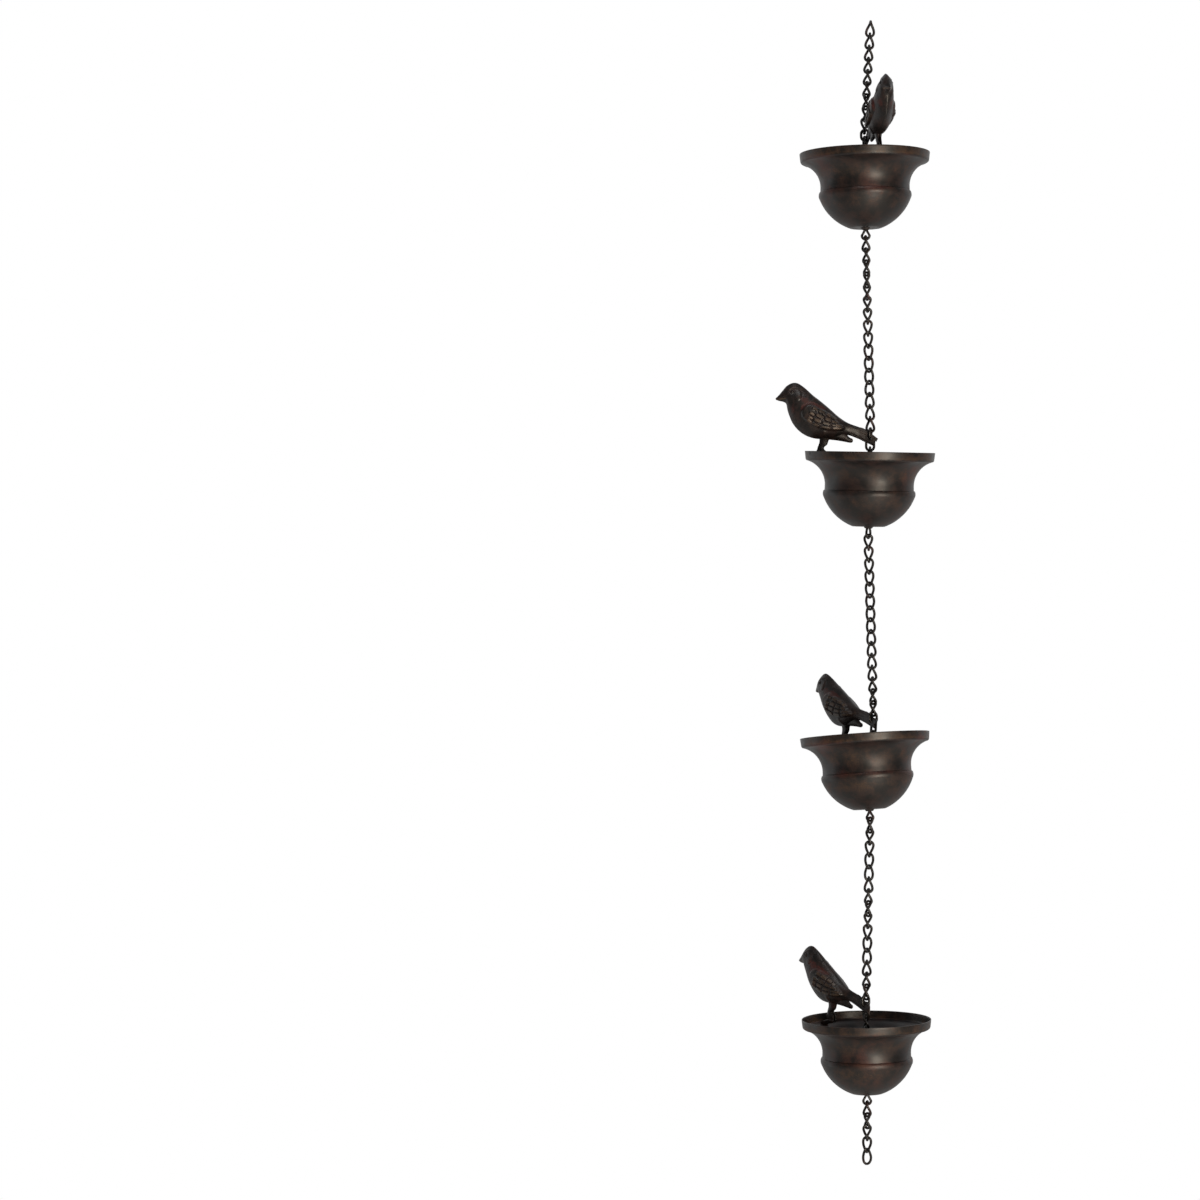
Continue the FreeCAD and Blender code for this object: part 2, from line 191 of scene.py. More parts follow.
def sweep(bm: bmesh.types.BMesh, frames: list[Matrix], sides: int, closed: bool) -> None:
    """Carry a circle of unit radius through a row of frames by extruding it.

    Args:
        bm: The mesh to build in, which gets the vertices section by section.
        frames: Each section's matrix, which may be stretched.
        sides: The number of sides of the circle.
        closed: True to join the last section to the first, False to cap both ends.
    """
    made = bmesh.ops.create_circle(bm, segments=sides, radius=1.0, cap_ends=False)["verts"]
    first_edges = list({edge for vert in made for edge in vert.link_edges})
    bmesh.ops.transform(bm, matrix=frames[0], verts=made)
    edges = first_edges
    for before, after in zip(frames, frames[1:]):
        grown = bmesh.ops.extrude_edge_only(bm, edges=edges)["geom"]
        verts = [item for item in grown if isinstance(item, bmesh.types.BMVert)]
        lines = [item for item in grown if isinstance(item, bmesh.types.BMEdge)]
        edges = [line for line in lines if set(line.verts) <= set(verts)]
        bmesh.ops.transform(bm, matrix=after @ before.inverted(), verts=verts)
    if closed:
        bmesh.ops.bridge_loops(bm, edges=first_edges + edges)
    else:
        bmesh.ops.contextual_create(bm, geom=first_edges)
        bmesh.ops.contextual_create(bm, geom=edges)
    bmesh.ops.recalc_face_normals(bm, faces=bm.faces)


def spun_round(bm: bmesh.types.BMesh, steps: int) -> None:
    """Spin the whole mesh, a profile in the XZ plane, once about +Z."""
    bmesh.ops.spin(
        bm,
        geom=bm.verts[:] + bm.edges[:],
        axis=(0, 0, 1),
        cent=(0, 0, 0),
        angle=2 * math.pi,
        steps=steps,
        use_merge=True,
        use_duplicate=False,
    )
    bmesh.ops.remove_doubles(bm, verts=bm.verts, dist=1e-4)
    bmesh.ops.recalc_face_normals(bm, faces=bm.faces)


def stored(name: str, bm: bmesh.types.BMesh, place: Matrix) -> bpy.types.Object:
    """Store a mesh in millimetres as an object in metres at the origin.

    Args:
        name: The piece's name.
        bm: The mesh, which is freed.
        place: Where the piece goes in the row's frame, in millimetres.

    Returns:
        The new object.
    """
    bm.transform(Matrix.Scale(MM, 4) @ place)
    mesh = bpy.data.meshes.new(name)
    bm.to_mesh(mesh)
    bm.free()
    mesh.polygons.foreach_set("use_smooth", [True] * len(mesh.polygons))
    piece = bpy.data.objects.new(name, mesh)
    bpy.context.scene.collection.objects.link(piece)
    return piece


def swept(name: str, frames: list[Matrix], sides: int) -> bpy.types.Object:
    """An object swept through frames, with both ends capped."""
    bm = bmesh.new()
    sweep(bm, frames, sides, False)
    return stored(name, bm, Matrix())


def worked(piece: bpy.types.Object, tool: bpy.types.Object, work: Work) -> None:
    """Cut, join or trim a piece with a tool, which is deleted.

    Args:
        piece: The object whose mesh changes.
        tool: The closed mesh to work with.
        work: What the tool does.
    """
    modifier = piece.modifiers.new("cut", "BOOLEAN")
    modifier.operation = work.value
    modifier.solver = "EXACT"
    modifier.object = tool
    depsgraph = bpy.context.evaluated_depsgraph_get()
    mesh = bpy.data.meshes.new_from_object(piece.evaluated_get(depsgraph))
    piece.modifiers.clear()
    piece.data = mesh
    bpy.data.objects.remove(tool)


def point_values(piece: bpy.types.Object, name: str, values: np.ndarray) -> None:
    """Store one number for each of a piece's points, for its material."""
    attribute = piece.data.attributes.get(name) or piece.data.attributes.new(name, "FLOAT", "POINT")
    attribute.data.foreach_set("value", values.astype(np.float32))


def points_of(piece: bpy.types.Object) -> np.ndarray:
    """A piece's points, in metres."""
    flat = np.zeros(len(piece.data.vertices) * 3, np.float32)
    piece.data.vertices.foreach_get("co", flat)
    return flat.reshape(-1, 3).astype(float)


def moved(piece: bpy.types.Object, place: Matrix) -> None:
    """Move a piece's mesh by a place in millimetres; the object stays at the origin."""
    scale = Matrix.Scale(MM, 4)
    piece.data.transform(scale @ place @ scale.inverted())


def hand_over(
    piece: bpy.types.Object, material: bpy.types.Material, nodes: list[str]
) -> None:
    """Dress a finished piece and let it stand for CAD nodes.

    Args:
        piece: The finished object.
        material: Its material.
        nodes: The CAD nodes that it replaces.
    """
    piece.data.materials.clear()
    piece.data.materials.append(material)
    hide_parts(*nodes)
    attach(piece, "root")
    LOG.info("%s stands for %s, %d faces", piece.name, ", ".join(nodes), len(piece.data.polygons))


def blank_tree(owner: bpy.types.Material | bpy.types.World) -> bpy.types.NodeTree:
    """The emptied node tree of a material or the world."""
    owner.use_nodes = True
    owner.node_tree.nodes.clear()
    return owner.node_tree


def add(
    tree: bpy.types.NodeTree, kind: str, inputs: dict, output: int | str = 0, **settings: object
) -> bpy.types.NodeSocket | None:
    """Add one shader node with its settings and links.

    Args:
        tree: The node tree.
        kind: The node's type name, without its ShaderNode.
        inputs: Input names or numbers, each with a value or an output to link.
        output: The name or number of the output that is wanted.
        **settings: Properties of the node.

    Returns:
        That output, or nothing where the node has none.
    """
    node = tree.nodes.new("ShaderNode" + kind)
    for key, value in settings.items():
        setattr(node, key, value)
    for key, value in inputs.items():
        if isinstance(value, bpy.types.NodeSocket):
            tree.links.new(value, node.inputs[key])
        else:
            node.inputs[key].default_value = value
    return node.outputs[output] if node.outputs else None


@dataclass(frozen=True)
class BronzePaint:
    """Antiqued dark bronze paint over iron, sprayed nearly black and rubbed by hand.

    The rub is bronze flake, warm gold-brown, that shines only where a lamp meets
    it and breaks the satin's broad highlights into grains. Where the point values lay
    it on the cups' band, flare and bowl and on the wing's cell centres, its colour is
    also a painted highlight. Primer shows as oxblood.
    """

    name: str
    dark: str = "#191616"
    ground: str = "#2a1e1c"
    rub: str = "#735a41"
    flush: str = "#4a2420"
    gloss: float = 0.42
    ground_grain: float = 9.0
    speckle_grain: float = 0.5
    rub_and_sheen_reach: float = 0.5
    rub_and_sheen_cover: float = 0.62
    flake: float = 0.6
    flush_reach: float = 0.5
    bump: float = 0.05

    def build(self) -> bpy.types.Material:
        """Make the material.

        Returns:
            The material, which reads the point values rub and flush.
        """
        material = bpy.data.materials.new(self.name)
        tree = blank_tree(material)
        # The limits in From Min and From Max are levels of the noises, which run from about 0.3 to 0.7
        soft = {"interpolation_type": "SMOOTHSTEP"}
        where = add(tree, "TexCoord", {}, "Object")
        rub_and_sheen_share = add(tree, "Attribute", {}, "Fac", attribute_name="rub")
        flushed = add(tree, "Attribute", {}, "Fac", attribute_name="flush")
        # Each noise: its grain in millimetres, detail and roughness. The speckle is
        # coarser than real flake, so that it shows
        clouds, drift, speckle = (
            add(
                tree,
                "TexNoise",
                {"Vector": where, "Scale": 1 / (grain * MM), "Detail": detail, "Roughness": rough},
            )
            for grain, detail, rough in (
                (self.ground_grain, 3.0, 0.6),
                (self.ground_grain * 3.2, 2.0, 0.5),
                (self.speckle_grain, 3.0, 0.75),
            )
        )
        share = add(tree, "MapRange", {"Value": clouds, "From Min": 0.38, "From Max": 0.62}, **soft)
        colours = {6: srgb(self.dark), 7: srgb(self.ground)}
        ground = add(tree, "Mix", {0: share, **colours}, 2, data_type="RGBA")
        # Red primer shows in soft clouds, strongest where the point value says
        red = add(tree, "Math", {0: flushed, 1: self.flush_reach, 2: drift}, operation="MULTIPLY_ADD")
        red = add(tree, "Math", {0: clouds, 1: 0.35, 2: red}, operation="MULTIPLY_ADD")
        red = add(tree, "MapRange", {"Value": red, "From Min": 0.78, "From Max": 1.10}, **soft)
        broken = add(tree, "MapRange", {"Value": speckle, "From Min": 0.36, "From Max": 0.56}, **soft)
        red = add(tree, "Math", {0: red, 1: broken}, operation="MULTIPLY")
        ground = add(tree, "Mix", {0: red, 6: ground, 7: srgb(self.flush)}, 2, data_type="RGBA")
        # The rub is broken up by the paint's speckle
        worn_and_sheen = add(tree, "Math", {0: clouds, 1: 0.5}, operation="MULTIPLY")
        worn_and_sheen = add(tree, "Math", {0: rub_and_sheen_share, 1: self.rub_and_sheen_reach, 2: worn_and_sheen}, operation="MULTIPLY_ADD")
        worn_and_sheen = add(tree, "Math", {0: speckle, 1: 1.1, 2: worn_and_sheen}, operation="MULTIPLY_ADD")
        span = {"From Min": 0.95, "From Max": 1.45, "To Max": self.rub_and_sheen_cover}
        worn_and_sheen = add(tree, "MapRange", {"Value": worn_and_sheen, **span}, **soft)
        # Mix in the rub colour: worn flake, and partly a painted highlight where the point values lay it
        colour = add(tree, "Mix", {0: worn_and_sheen, 6: ground, 7: srgb(self.rub)}, 2, data_type="RGBA")
        flake = add(tree, "Math", {0: worn_and_sheen, 1: self.flake}, operation="MULTIPLY")
        # The satin is a little uneven
        span = {"From Min": 0.3, "From Max": 0.7}
        satin = {"To Min": self.gloss - 0.05, "To Max": self.gloss + 0.08}
        rough = add(tree, "MapRange", {"Value": clouds, **span, **satin})
        relief = add(tree, "Math", {0: speckle, 1: 0.5, 2: clouds}, operation="MULTIPLY_ADD")
        bump = add(tree, "Bump", {"Height": relief, "Strength": 0.6, "Distance": self.bump * MM})
        looks = {"Base Color": colour, "Metallic": flake, "Roughness": rough, "Normal": bump}
        shader = add(tree, "BsdfPrincipled", looks)
        add(tree, "OutputMaterial", {"Surface": shader})
        return material


@dataclass(frozen=True)
class WireLink:
    """A link bent from round wire and twisted about its length."""

    length: float = 15.01
    width: float = 8.8
    wire: float = 2.2
    twist: float = 90.0
    sides: int = 12
    bends: int = 7
    legs: int = 5

    def right_side(self) -> list[tuple[float, float, float]]:
        """Stations down the right side: half width, height and lie."""
        radius = (self.width - self.wire) / 2
        leg = (self.length - self.wire) / 2 - radius
        upper = self.bend(radius, leg, 0)
        lower = self.bend(radius, -leg, 90)
        between = [(radius, leg - 2 * leg * part / self.legs, 90.0) for part in range(1, self.legs)]
        return upper + between + lower

    def bend(self, radius: float, centre: float, start: float) -> list[tuple[float, float, float]]:
        """Stations on a quarter turn of the wire.

        Args:
            radius: The centre line's radius.
            centre: The height of the bend's centre.
            start: The lie of the first station.

        Returns:
            Half width, height and lie of each station.
        """
        stations = []
        for index in range(self.bends):
            lie = start + 90.0 * index / (self.bends - 1)
            angle = math.radians(lie)
            stations.append((radius * math.sin(angle), centre + radius * math.cos(angle), lie))
        return stations

    def frame_at(self, half_width: float, height: float, lie: float, span: float) -> Matrix:
        """The wire's section frame at a station of the twisted link.

        Args:
            half_width: Distance from the link's middle line.
            height: Height of the station.
            lie: The wire's outward direction in the link's plane.
            span: Half the centre line's height.

        Returns:
            A matrix that carries a circle of unit radius on to the wire.
        """
        share = height / span * math.pi / 2
        turn = -self.twist / 2 * math.sin(share)
        rate = -math.radians(self.twist) / 2 * math.cos(share) * math.pi / 2 / span
        across = turned(turn) @ Vector((1, 0, 0))
        beside = turned(turn + 90) @ Vector((1, 0, 0))
        sine, cosine = math.sin(math.radians(lie)), math.cos(math.radians(lie))
        along = across * cosine + Vector((0, 0, -sine)) + beside * (-half_width * rate * sine)
        along.normalize()
        side = along.cross(across * sine + Vector((0, 0, cosine))).normalized()
        outward = side.cross(along)
        radius = self.wire / 2
        basis = Matrix((outward * radius, side * radius, along)).transposed().to_4x4()
        return Matrix.Translation(across * half_width + Vector((0, 0, height))) @ basis

    def mesh(self) -> bpy.types.Mesh:
        """Build the link, centred on the origin, in millimetres.

        Returns:
            A mesh to be repeated.
        """
        right = self.right_side()
        span = right[0][1]
        middle = (right[0][1] + right[-1][1]) / 2
        stations = right + [(-x, z, 360 - lie) for x, z, lie in reversed(right[1:-1])]
        frames = [self.frame_at(x, z - middle, lie, span - middle) for x, z, lie in stations]
        bm = bmesh.new()
        sweep(bm, frames, self.sides, True)
        bm.transform(Matrix.Translation((0, 0, middle)))
        mesh = bpy.data.meshes.new("link")
        bm.to_mesh(mesh)
        bm.free()
        return mesh

    @property
    def pitch(self) -> float:
        """Distance between the link's two junctions."""
        return self.length - 2 * self.wire - PLAY


@dataclass(frozen=True)
class NeckLink(WireLink):
    """The waisted link whose shoulders carry a cup by its neck."""

    seat: float = 4.7
    drop: float = 10.8
    loop_radius: float = 2.7
    pinch: float = 0.15
    neck_top: float = 0.8
    neck_bottom: float = -1.8

    def right_side(self) -> list[tuple[float, float, float]]:
        """Stations down the right side: half width, height and lie."""
        top = self.seat + self.wire / 2
        bottom = -self.drop + self.wire / 2
        radius = (self.width - self.wire) / 2
        waist = self.wire / 2 + self.pinch
        upper = self.bend(self.loop_radius, top - self.loop_radius, 0)
        lower = self.bend(radius, bottom + radius, 90)
        corners = [upper[-1], (waist, self.neck_top, 90.0), (waist, self.neck_bottom, 90.0), lower[0]]
        points = [catmull(corners, part / self.legs) for part in range(1, 3 * self.legs)]
        return upper + [(float(point[0]), float(point[1]), 90.0) for point in points] + lower


@dataclass(frozen=True)
class RainCup:
    """A cup spun from sheet: rim band, flare, waist bead, bowl, floor and neck."""

    wall: float = 0.8
    height: float = 63.0
    rim_radius: float = 55.0
    rim_taper: float = 0.7
    rim_band: float = 6.0
    rim_roll: float = 2.0
    waist: tuple[float, float] = (37.6, 35.0)
    bead: tuple[float, float] = (39.2, 27.6)
    bead_rise: float = 3.0
    bowl: tuple[float, float] = (31.0, 12.2)
    floor_radius: float = 13.5
    neck_length: float = 1.6
    neck_bore: float = 2.5
    neck_wall: float = 0.5
    neck_flare: float = 1.2
    slit_width: float = 1.1
    slit_depth: float = 5.2
    slit_turn: float = 203.4
    edge_bevel: float = 0.22
    sharp_edge: float = 35.0
    unevenness: float = 0.10
    wave: float = 21.0
    steps: int = 144

    def arc(
        self,
        bm: bmesh.types.BMesh,
        start: bmesh.types.BMVert,
        middle: tuple[float, float],
        end: tuple[float, float],
        steps: int,
    ) -> bmesh.types.BMVert:
        """Spin the profile's last vertex along an arc through three points.

        Args:
            bm: The profile's mesh.
            start: The last vertex.
            middle: A point on the arc, radius and height.
            end: The arc's end, radius and height.
            steps: The number of edges.

        Returns:
            The arc's end vertex.
        """
        a, b, c = (complex(start.co.x, start.co.z), complex(*middle), complex(*end))
        w = (c - a) / (b - a)
        centre = (b - a) * (w - abs(w) ** 2) / (2j * w.imag) + a
        first = math.atan2((a - centre).imag, (a - centre).real)
        last = math.atan2((c - centre).imag, (c - centre).real)
        angle = (last - first + math.pi) % (2 * math.pi) - math.pi
        made = bmesh.ops.spin(
            bm,
            geom=[start],
            cent=(centre.real, 0, centre.imag),
            axis=(0, -1, 0),
            angle=angle,
            steps=steps,
            use_merge=False,
            use_duplicate=False,
        )
        return next(item for item in made["geom_last"] if isinstance(item, bmesh.types.BMVert))

    def line(
        self, bm: bmesh.types.BMesh, start: bmesh.types.BMVert, end: tuple[float, float], steps: int
    ) -> bmesh.types.BMVert:
        """Extrude the profile's last vertex along a straight stretch.

        Args:
            bm: The profile's mesh.
            start: The last vertex.
            end: The stretch's end, radius and height.
            steps: The number of edges.

        Returns:
            The stretch's end vertex.
        """
        step = (Vector((end[0], 0, end[1])) - start.co) / steps
        vert = start
        for _ in range(steps):
            grown = bmesh.ops.extrude_vert_indiv(bm, verts=[vert])["verts"]
            bmesh.ops.translate(bm, verts=grown, vec=step)
            vert = grown[0]
        return vert

    def skin(self) -> bmesh.types.BMesh:
        """Spin the outside of the cup from its rim's edge to the end of its neck.

        Returns:
            The skin, open at the rim and at the neck.
        """
        bm = bmesh.new()
        band = (self.rim_radius - self.rim_taper, self.height - self.rim_band)
        flare = (band[0] - self.rim_roll, band[1] - self.rim_roll)
        roll = (band[0] - 0.3 * self.rim_roll, band[1] - 0.7 * self.rim_roll)
        rise, reach = flare[1] - self.waist[1], flare[0] - self.waist[0]
        bend = 2 * math.atan2(reach, rise)
        radius = rise / math.sin(bend)
        curve = (
            self.waist[0] + radius * (1 - math.cos(bend / 2)),
            self.waist[1] + radius * math.sin(bend / 2),
        )
        lift = self.bead[0] - self.waist[0]
        # A crisp crease, then a narrow ledge over the bead
        dip = (self.waist[0] + 0.1 * lift, self.bead[1] + 3.1)
        shoulder = (self.bead[0] - 0.38 * lift, self.bead[1] + 2.6)
        under = (self.bead[0] - 0.5 * lift, self.bead[1] - self.bead_rise)
        vert = bm.verts.new((self.rim_radius, 0, self.height))
        vert = self.line(bm, vert, band, 4)
        vert = self.arc(bm, vert, roll, flare, 4)
        vert = self.arc(bm, vert, curve, self.waist, 16)
        vert = self.line(bm, vert, dip, 3)
        vert = self.line(bm, vert, shoulder, 2)
        vert = self.arc(bm, vert, self.bead, under, 8)
        vert = self.arc(bm, vert, self.bowl, (self.floor_radius, 0), 16)
        root = self.neck_bore + self.neck_wall + self.neck_flare
        vert = self.line(bm, vert, (root, 0), 5)
        self.line(bm, vert, (self.neck_bore + self.neck_wall, -self.neck_length), 3)
        spun_round(bm, self.steps)
        return bm

    def mesh(self) -> bmesh.types.BMesh:
        """Give the skin its sheet thickness and soften its rim.

        Returns:
            The cup in its own frame, the outside of its floor at zero.
        """
        bm = self.skin()
        if max(bm.faces, key=lambda face: face.calc_center_median().z).normal.z < -0.5:
            bmesh.ops.reverse_faces(bm, faces=bm.faces)
        bmesh.ops.solidify(bm, geom=bm.faces[:], thickness=self.wall)
        for vert in bm.verts:
            off = math.hypot(vert.co.x, vert.co.y)
            if off < self.neck_bore:
                vert.co.x *= self.neck_bore / off
                vert.co.y *= self.neck_bore / off
            # Hand-held spinning leaves the wall a little uneven
            if vert.co.z > 2.0:
                push = self.unevenness * noise.noise(vert.co / self.wave)
                vert.co.x += push * vert.co.x / off
                vert.co.y += push * vert.co.y / off
        bmesh.ops.recalc_face_normals(bm, faces=bm.faces)
        rim = [
            edge
            for edge in bm.edges
            if all(vert.co.z > self.height - 0.4 for vert in edge.verts)
            and len(edge.link_faces) == 2
            and abs(edge.calc_face_angle(0.0)) > 1.0
        ]
        bmesh.ops.bevel(
            bm,
            geom=rim,
            offset=self.edge_bevel,
            affect="EDGES",
            segments=2,
            profile=0.5,
            material=-1,
            clamp_overlap=True,
        )
        return bm

    def slit_tool(self) -> bpy.types.Object:
        """The wedge that cuts the small V in one rim, in the cup's frame."""
        bm = bmesh.new()
        size = {"radius1": 0.02, "radius2": self.slit_width, "depth": self.slit_depth + 1.0}
        made = bmesh.ops.create_cone(bm, cap_ends=True, segments=4, **size)["verts"]
        bmesh.ops.scale(bm, verts=made, vec=(6.0, 1.0, 1.0))
        place = Matrix.Translation((self.rim_radius, 0, self.height - self.slit_depth / 2 + 0.5))
        return stored("slit_tool", bm, turned(self.slit_turn) @ place)

    def dress_values(self, piece: bpy.types.Object, place: Matrix, seed: int) -> None:
        """Say where the paint is rubbed, where a highlight is painted on, and where the primer shows.

        Args:
            piece: The placed cup.
            place: Where the cup is, in millimetres.
            seed: Picks the cup's own patches.
        """
        back = place.inverted()
        own = (points_of(piece) / MM) @ np.array(back.to_3x3()).T + np.array(back.translation)
        height, off = own[:, 2], np.hypot(own[:, 0], own[:, 1])
        turn = np.degrees(np.arctan2(own[:, 1], own[:, 0]))
        edge = hill(height - self.height + self.rim_band, 1.6)
        bead = hill(height - self.bead[1] - 2.0, 2.2)
        flare = hill(height - 44.0, 8.0)
        band = 1.0 * (height > self.height - self.rim_band - 0.5)
        bowl = hill(height - 20.0, 7.0)
        rng = random.Random(seed)
        patches = np.zeros(len(own))
        for _ in range(7):
            centre, width, level = rng.uniform(-180, 180), rng.uniform(16, 38), rng.uniform(8, 58)
            away = (turn - centre + 180) % 360 - 180
            patches += hill(away, width) * hill(height - level, 13.0)
        inside = off < self.rim_radius - self.rim_taper - 0.5
        patches = np.clip(patches, 0, 1)
        # The band, flare and bowl terms put rub colour where the lamps' highlights fall: partly wear, partly
        # a painted highlight. Edge, bead and patches are wear.
        rub = 0.45 * band + 0.2 * edge + 0.2 * bead + 0.4 * flare + 0.4 * bowl + 0.15 * patches
        flush = 0.36 * bead + 0.3 * edge + 0.5 * patches
        # The inside of the rim's top gets less of it, and so less of the painted highlight.
        point_values(piece, "rub", rub * np.where(inside & (height > 60), 0.6, 1.0))
        point_values(piece, "flush", flush)


@dataclass(frozen=True)
class FeatherCell:
    """One pressed cell of the wing, in the bird's side view."""

    x: float
    z: float
    half_length: float
    half_width: float
    slope: float


@dataclass(frozen=True)
class PressedLine:
    """A line pressed into the sheet or out of it, in the bird's side view."""

    points: Table
    height: float
    width: float
    rub: float = 0.0
    rub_and_sheen_width: float = 1.0
    on_tail: bool = False


def to_line(line: list[np.ndarray], x: np.ndarray, z: np.ndarray) -> np.ndarray:
    """Distance of places from a line of short straight steps.

    Args:
        line: The line's points.
        x: The places' first coordinates.
        z: The places' second coordinates.

    Returns:
        The distance of each place.
    """
    best = np.full(len(x), np.inf)
    for (ax, az), (bx, bz) in zip(line, line[1:]):
        dx, dz = bx - ax, bz - az
        share = np.clip(((x - ax) * dx + (z - az) * dz) / (dx * dx + dz * dz), 0, 1)
        best = np.minimum(best, np.hypot(x - ax - share * dx, z - az - share * dz))
    return best


def outline_distance(points: Table, x: np.ndarray, z: np.ndarray) -> np.ndarray:
    """Signed distance from a smooth closed outline, below zero inside it.

    Args:
        points: Points that the outline passes through.
        x: The places' first coordinates.
        z: The places' second coordinates.

    Returns:
        The distance of each place.
    """
    ring = [points[-1], *points, points[0], points[1]]
    steps = 5
    line = [catmull(ring, 1 + index / steps) for index in range(len(points) * steps)]
    line.append(line[0])
    inside = np.zeros(len(x), bool)
    for (ax, az), (bx, bz) in zip(line, line[1:]):
        crosses = (az > z) != (bz > z)
        with np.errstate(divide="ignore", invalid="ignore"):
            inside ^= crosses & (x < (bx - ax) * (z - az) / (bz - az) + ax)
    away = to_line(line, x, z)
    return np.where(inside, -away, away)


def line_distance(points: Table, x: np.ndarray, z: np.ndarray) -> np.ndarray:
    """Distance from a smooth open line.

    Args:
        points: Points that the line passes through.
        x: The places' first coordinates.
        z: The places' second coordinates.

    Returns:
        The distance of each place.
    """
    steps = 6
    count = (len(points) - 1) * steps + 1
    return to_line([catmull(points, index / steps) for index in range(count)], x, z)


@dataclass(frozen=True)
class SheetBird:
    """A bird pressed from sheet in two halves, with its relief."""

    sheet: float = 0.7
    sides: int = 152
    ring_step: float = 0.62
    leg_spread: float = 0.9
    foot_spread: float = 1.4
    toe_splay: float = 1.0
    hole_radius: float = 1.25
    hole_shift: float = 0.25
    rod_length: float = 12.0
    seam: float = 0.02
    sharp_edge: float = 40.0
    plate_height: float = 1.8
    cell_height: float = 1.0
    eye: tuple[float, float] = (-66.6, 49.8)
    cheek: tuple[float, float] = (-61.7, 46.9)
    nub: tuple[float, float] = (-47.6, 44.6)
    notch: tuple[float, float] = (4.7, 7.9)
    notch_size: float = 2.0
    notch_turn: float = 24.0
    # A ring is its top point, its bottom point and half its thickness
    body: Table = (
        (-80.5, 44.0, -80.3, 42.8, 0.35), (-77.8, 46.7, -77.6, 41.8, 1.7),
        (-74.4, 50.9, -74.1, 41.1, 3.2), (-71.5, 54.4, -71.5, 39.4, 4.5),
        (-67.0, 57.0, -70.2, 34.0, 5.7), (-62.2, 57.0, -68.4, 28.9, 6.6),
        (-56.3, 53.4, -65.7, 23.2, 7.8), (-48.9, 47.0, -60.9, 17.4, 8.7),
        (-42.6, 42.3, -54.3, 12.9, 9.2), (-35.2, 36.3, -46.2, 10.5, 8.9),
        (-27.9, 30.0, -36.5, 10.3, 7.7), (-22.5, 26.2, -27.9, 11.6, 5.6),
        (-17.5, 23.6, -19.6, 13.9, 2.9), (-9.8, 21.0, -11.0, 11.3, 1.2), (-4.4, 19.2, -5.9, 9.0, 0.7),
        (6.6, 11.4, 3.4, 4.9, 0.7),
    )
    rump: Table = (
        (-33.0, 20.0, -35.5, 9.9, 3.6), (-27.0, 19.0, -28.6, 9.3, 3.2), (-22.0, 17.0, -23.0, 8.5, 2.4),
        (-19.2, 13.8, -19.6, 7.9, 1.8), (-17.0, 11.8, -17.2, 7.5, 1.4), (-15.2, 11.1, -15.3, 7.7, 1.0),
        (-14.5, 10.0, -14.5, 8.7, 0.5),
    )
    # Leg: place along the bird, height, half width and half thickness
    leg_rings: Table = (
        (-38.2, 18.5, 2.6, 1.6), (-38.0, 15.0, 4.0, 2.6), (-38.2, 12.0, 4.6, 2.3),
        (-38.9, 9.0, 3.8, 1.5), (-39.3, 7.0, 3.6, 1.2), (-39.9, 5.4, 3.5, 1.1), (-41.3, 3.6, 2.8, 1.0),
        (-41.6, 1.8, 2.9, 1.0), (-41.1, -0.2, 4.2, 1.1), (-41.3, -3.2, 4.4, 1.2),
        (-41.5, -6.4, 4.2, 1.2),
    )
    # Toes: place along the bird, height, half height and half width
    toe_rings: Table = (
        (-36.9, -4.9, 0.9, 0.8), (-38.4, -4.9, 1.7, 1.2), (-42.0, -5.4, 2.0, 1.4),
        (-46.4, -6.6, 1.9, 1.5), (-50.2, -7.6, 1.7, 1.4), (-51.4, -8.0, 0.8, 0.8),
    )
    wing: Table = (
        (-59.0, 32.6), (-56.6, 37.4), (-53.4, 39.7), (-49.0, 40.1), (-43.5, 37.4), (-37.4, 33.8),
        (-32.0, 30.2), (-26.4, 24.9), (-22.3, 21.4), (-21.8, 18.6), (-28.8, 16.9), (-37.8, 17.6),
        (-42.6, 19.0), (-48.7, 21.4), (-53.6, 24.2), (-57.6, 27.6),
    )
    cells: tuple[FeatherCell, ...] = tuple(
        FeatherCell(*row)
        for row in (
            (-46.5, 35.6, 2.3, 1.15, -27), (-40.8, 33.4, 3.1, 1.5, -26), (-34.8, 30.6, 2.3, 1.15, -30),
            (-30.7, 28.0, 1.6, 0.8, -33), (-49.2, 31.5, 2.2, 1.1, -30), (-42.6, 29.5, 3.5, 1.45, -24),
            (-35.7, 26.8, 2.8, 1.3, -22), (-29.9, 24.8, 2.7, 1.0, -20), (-50.4, 28.1, 2.0, 1.1, -30),
            (-44.5, 25.8, 3.4, 1.4, -22), (-37.0, 23.3, 3.4, 1.25, -16), (-28.0, 21.8, 4.7, 0.95, -9),
            (-51.4, 24.8, 2.8, 1.3, -38), (-45.8, 21.9, 2.8, 1.25, -24), (-37.6, 19.9, 4.3, 1.25, -9),
            (-27.6, 19.2, 4.9, 1.15, -2),
        )
    )

    # Brow, the beak's mouth and light edge, thigh, and the tail's fold and ridge
    lines: tuple[PressedLine, ...] = (
        PressedLine(
            ((-69.2, 51.9), (-66.6, 53.2), (-63.9, 53.7), (-60.9, 53.2), (-58.4, 51.6)), 0.42, 0.9, 0.55, 0.9
        ),
        PressedLine(((-80.4, 43.6), (-77.0, 44.4), (-73.0, 45.4)), -0.25, 0.35),
        PressedLine(((-79.6, 43.1), (-76.0, 43.5), (-72.2, 44.0)), 0.0, 1.0, 1.2, 0.9),
        PressedLine(((-38.9, 16.0), (-37.9, 12.6), (-37.0, 9.8)), 0.7, 1.9, 0.5, 1.3),
        PressedLine(((-19.1, 16.6), (-12.4, 13.6), (-6.1, 10.7), (3.4, 5.6)), -0.22, 0.35, on_tail=True),
        PressedLine(((-17.5, 21.4), (-9.0, 17.6), (-1.0, 13.8)), 0.18, 0.8, 0.45, 1.6, True),
    )

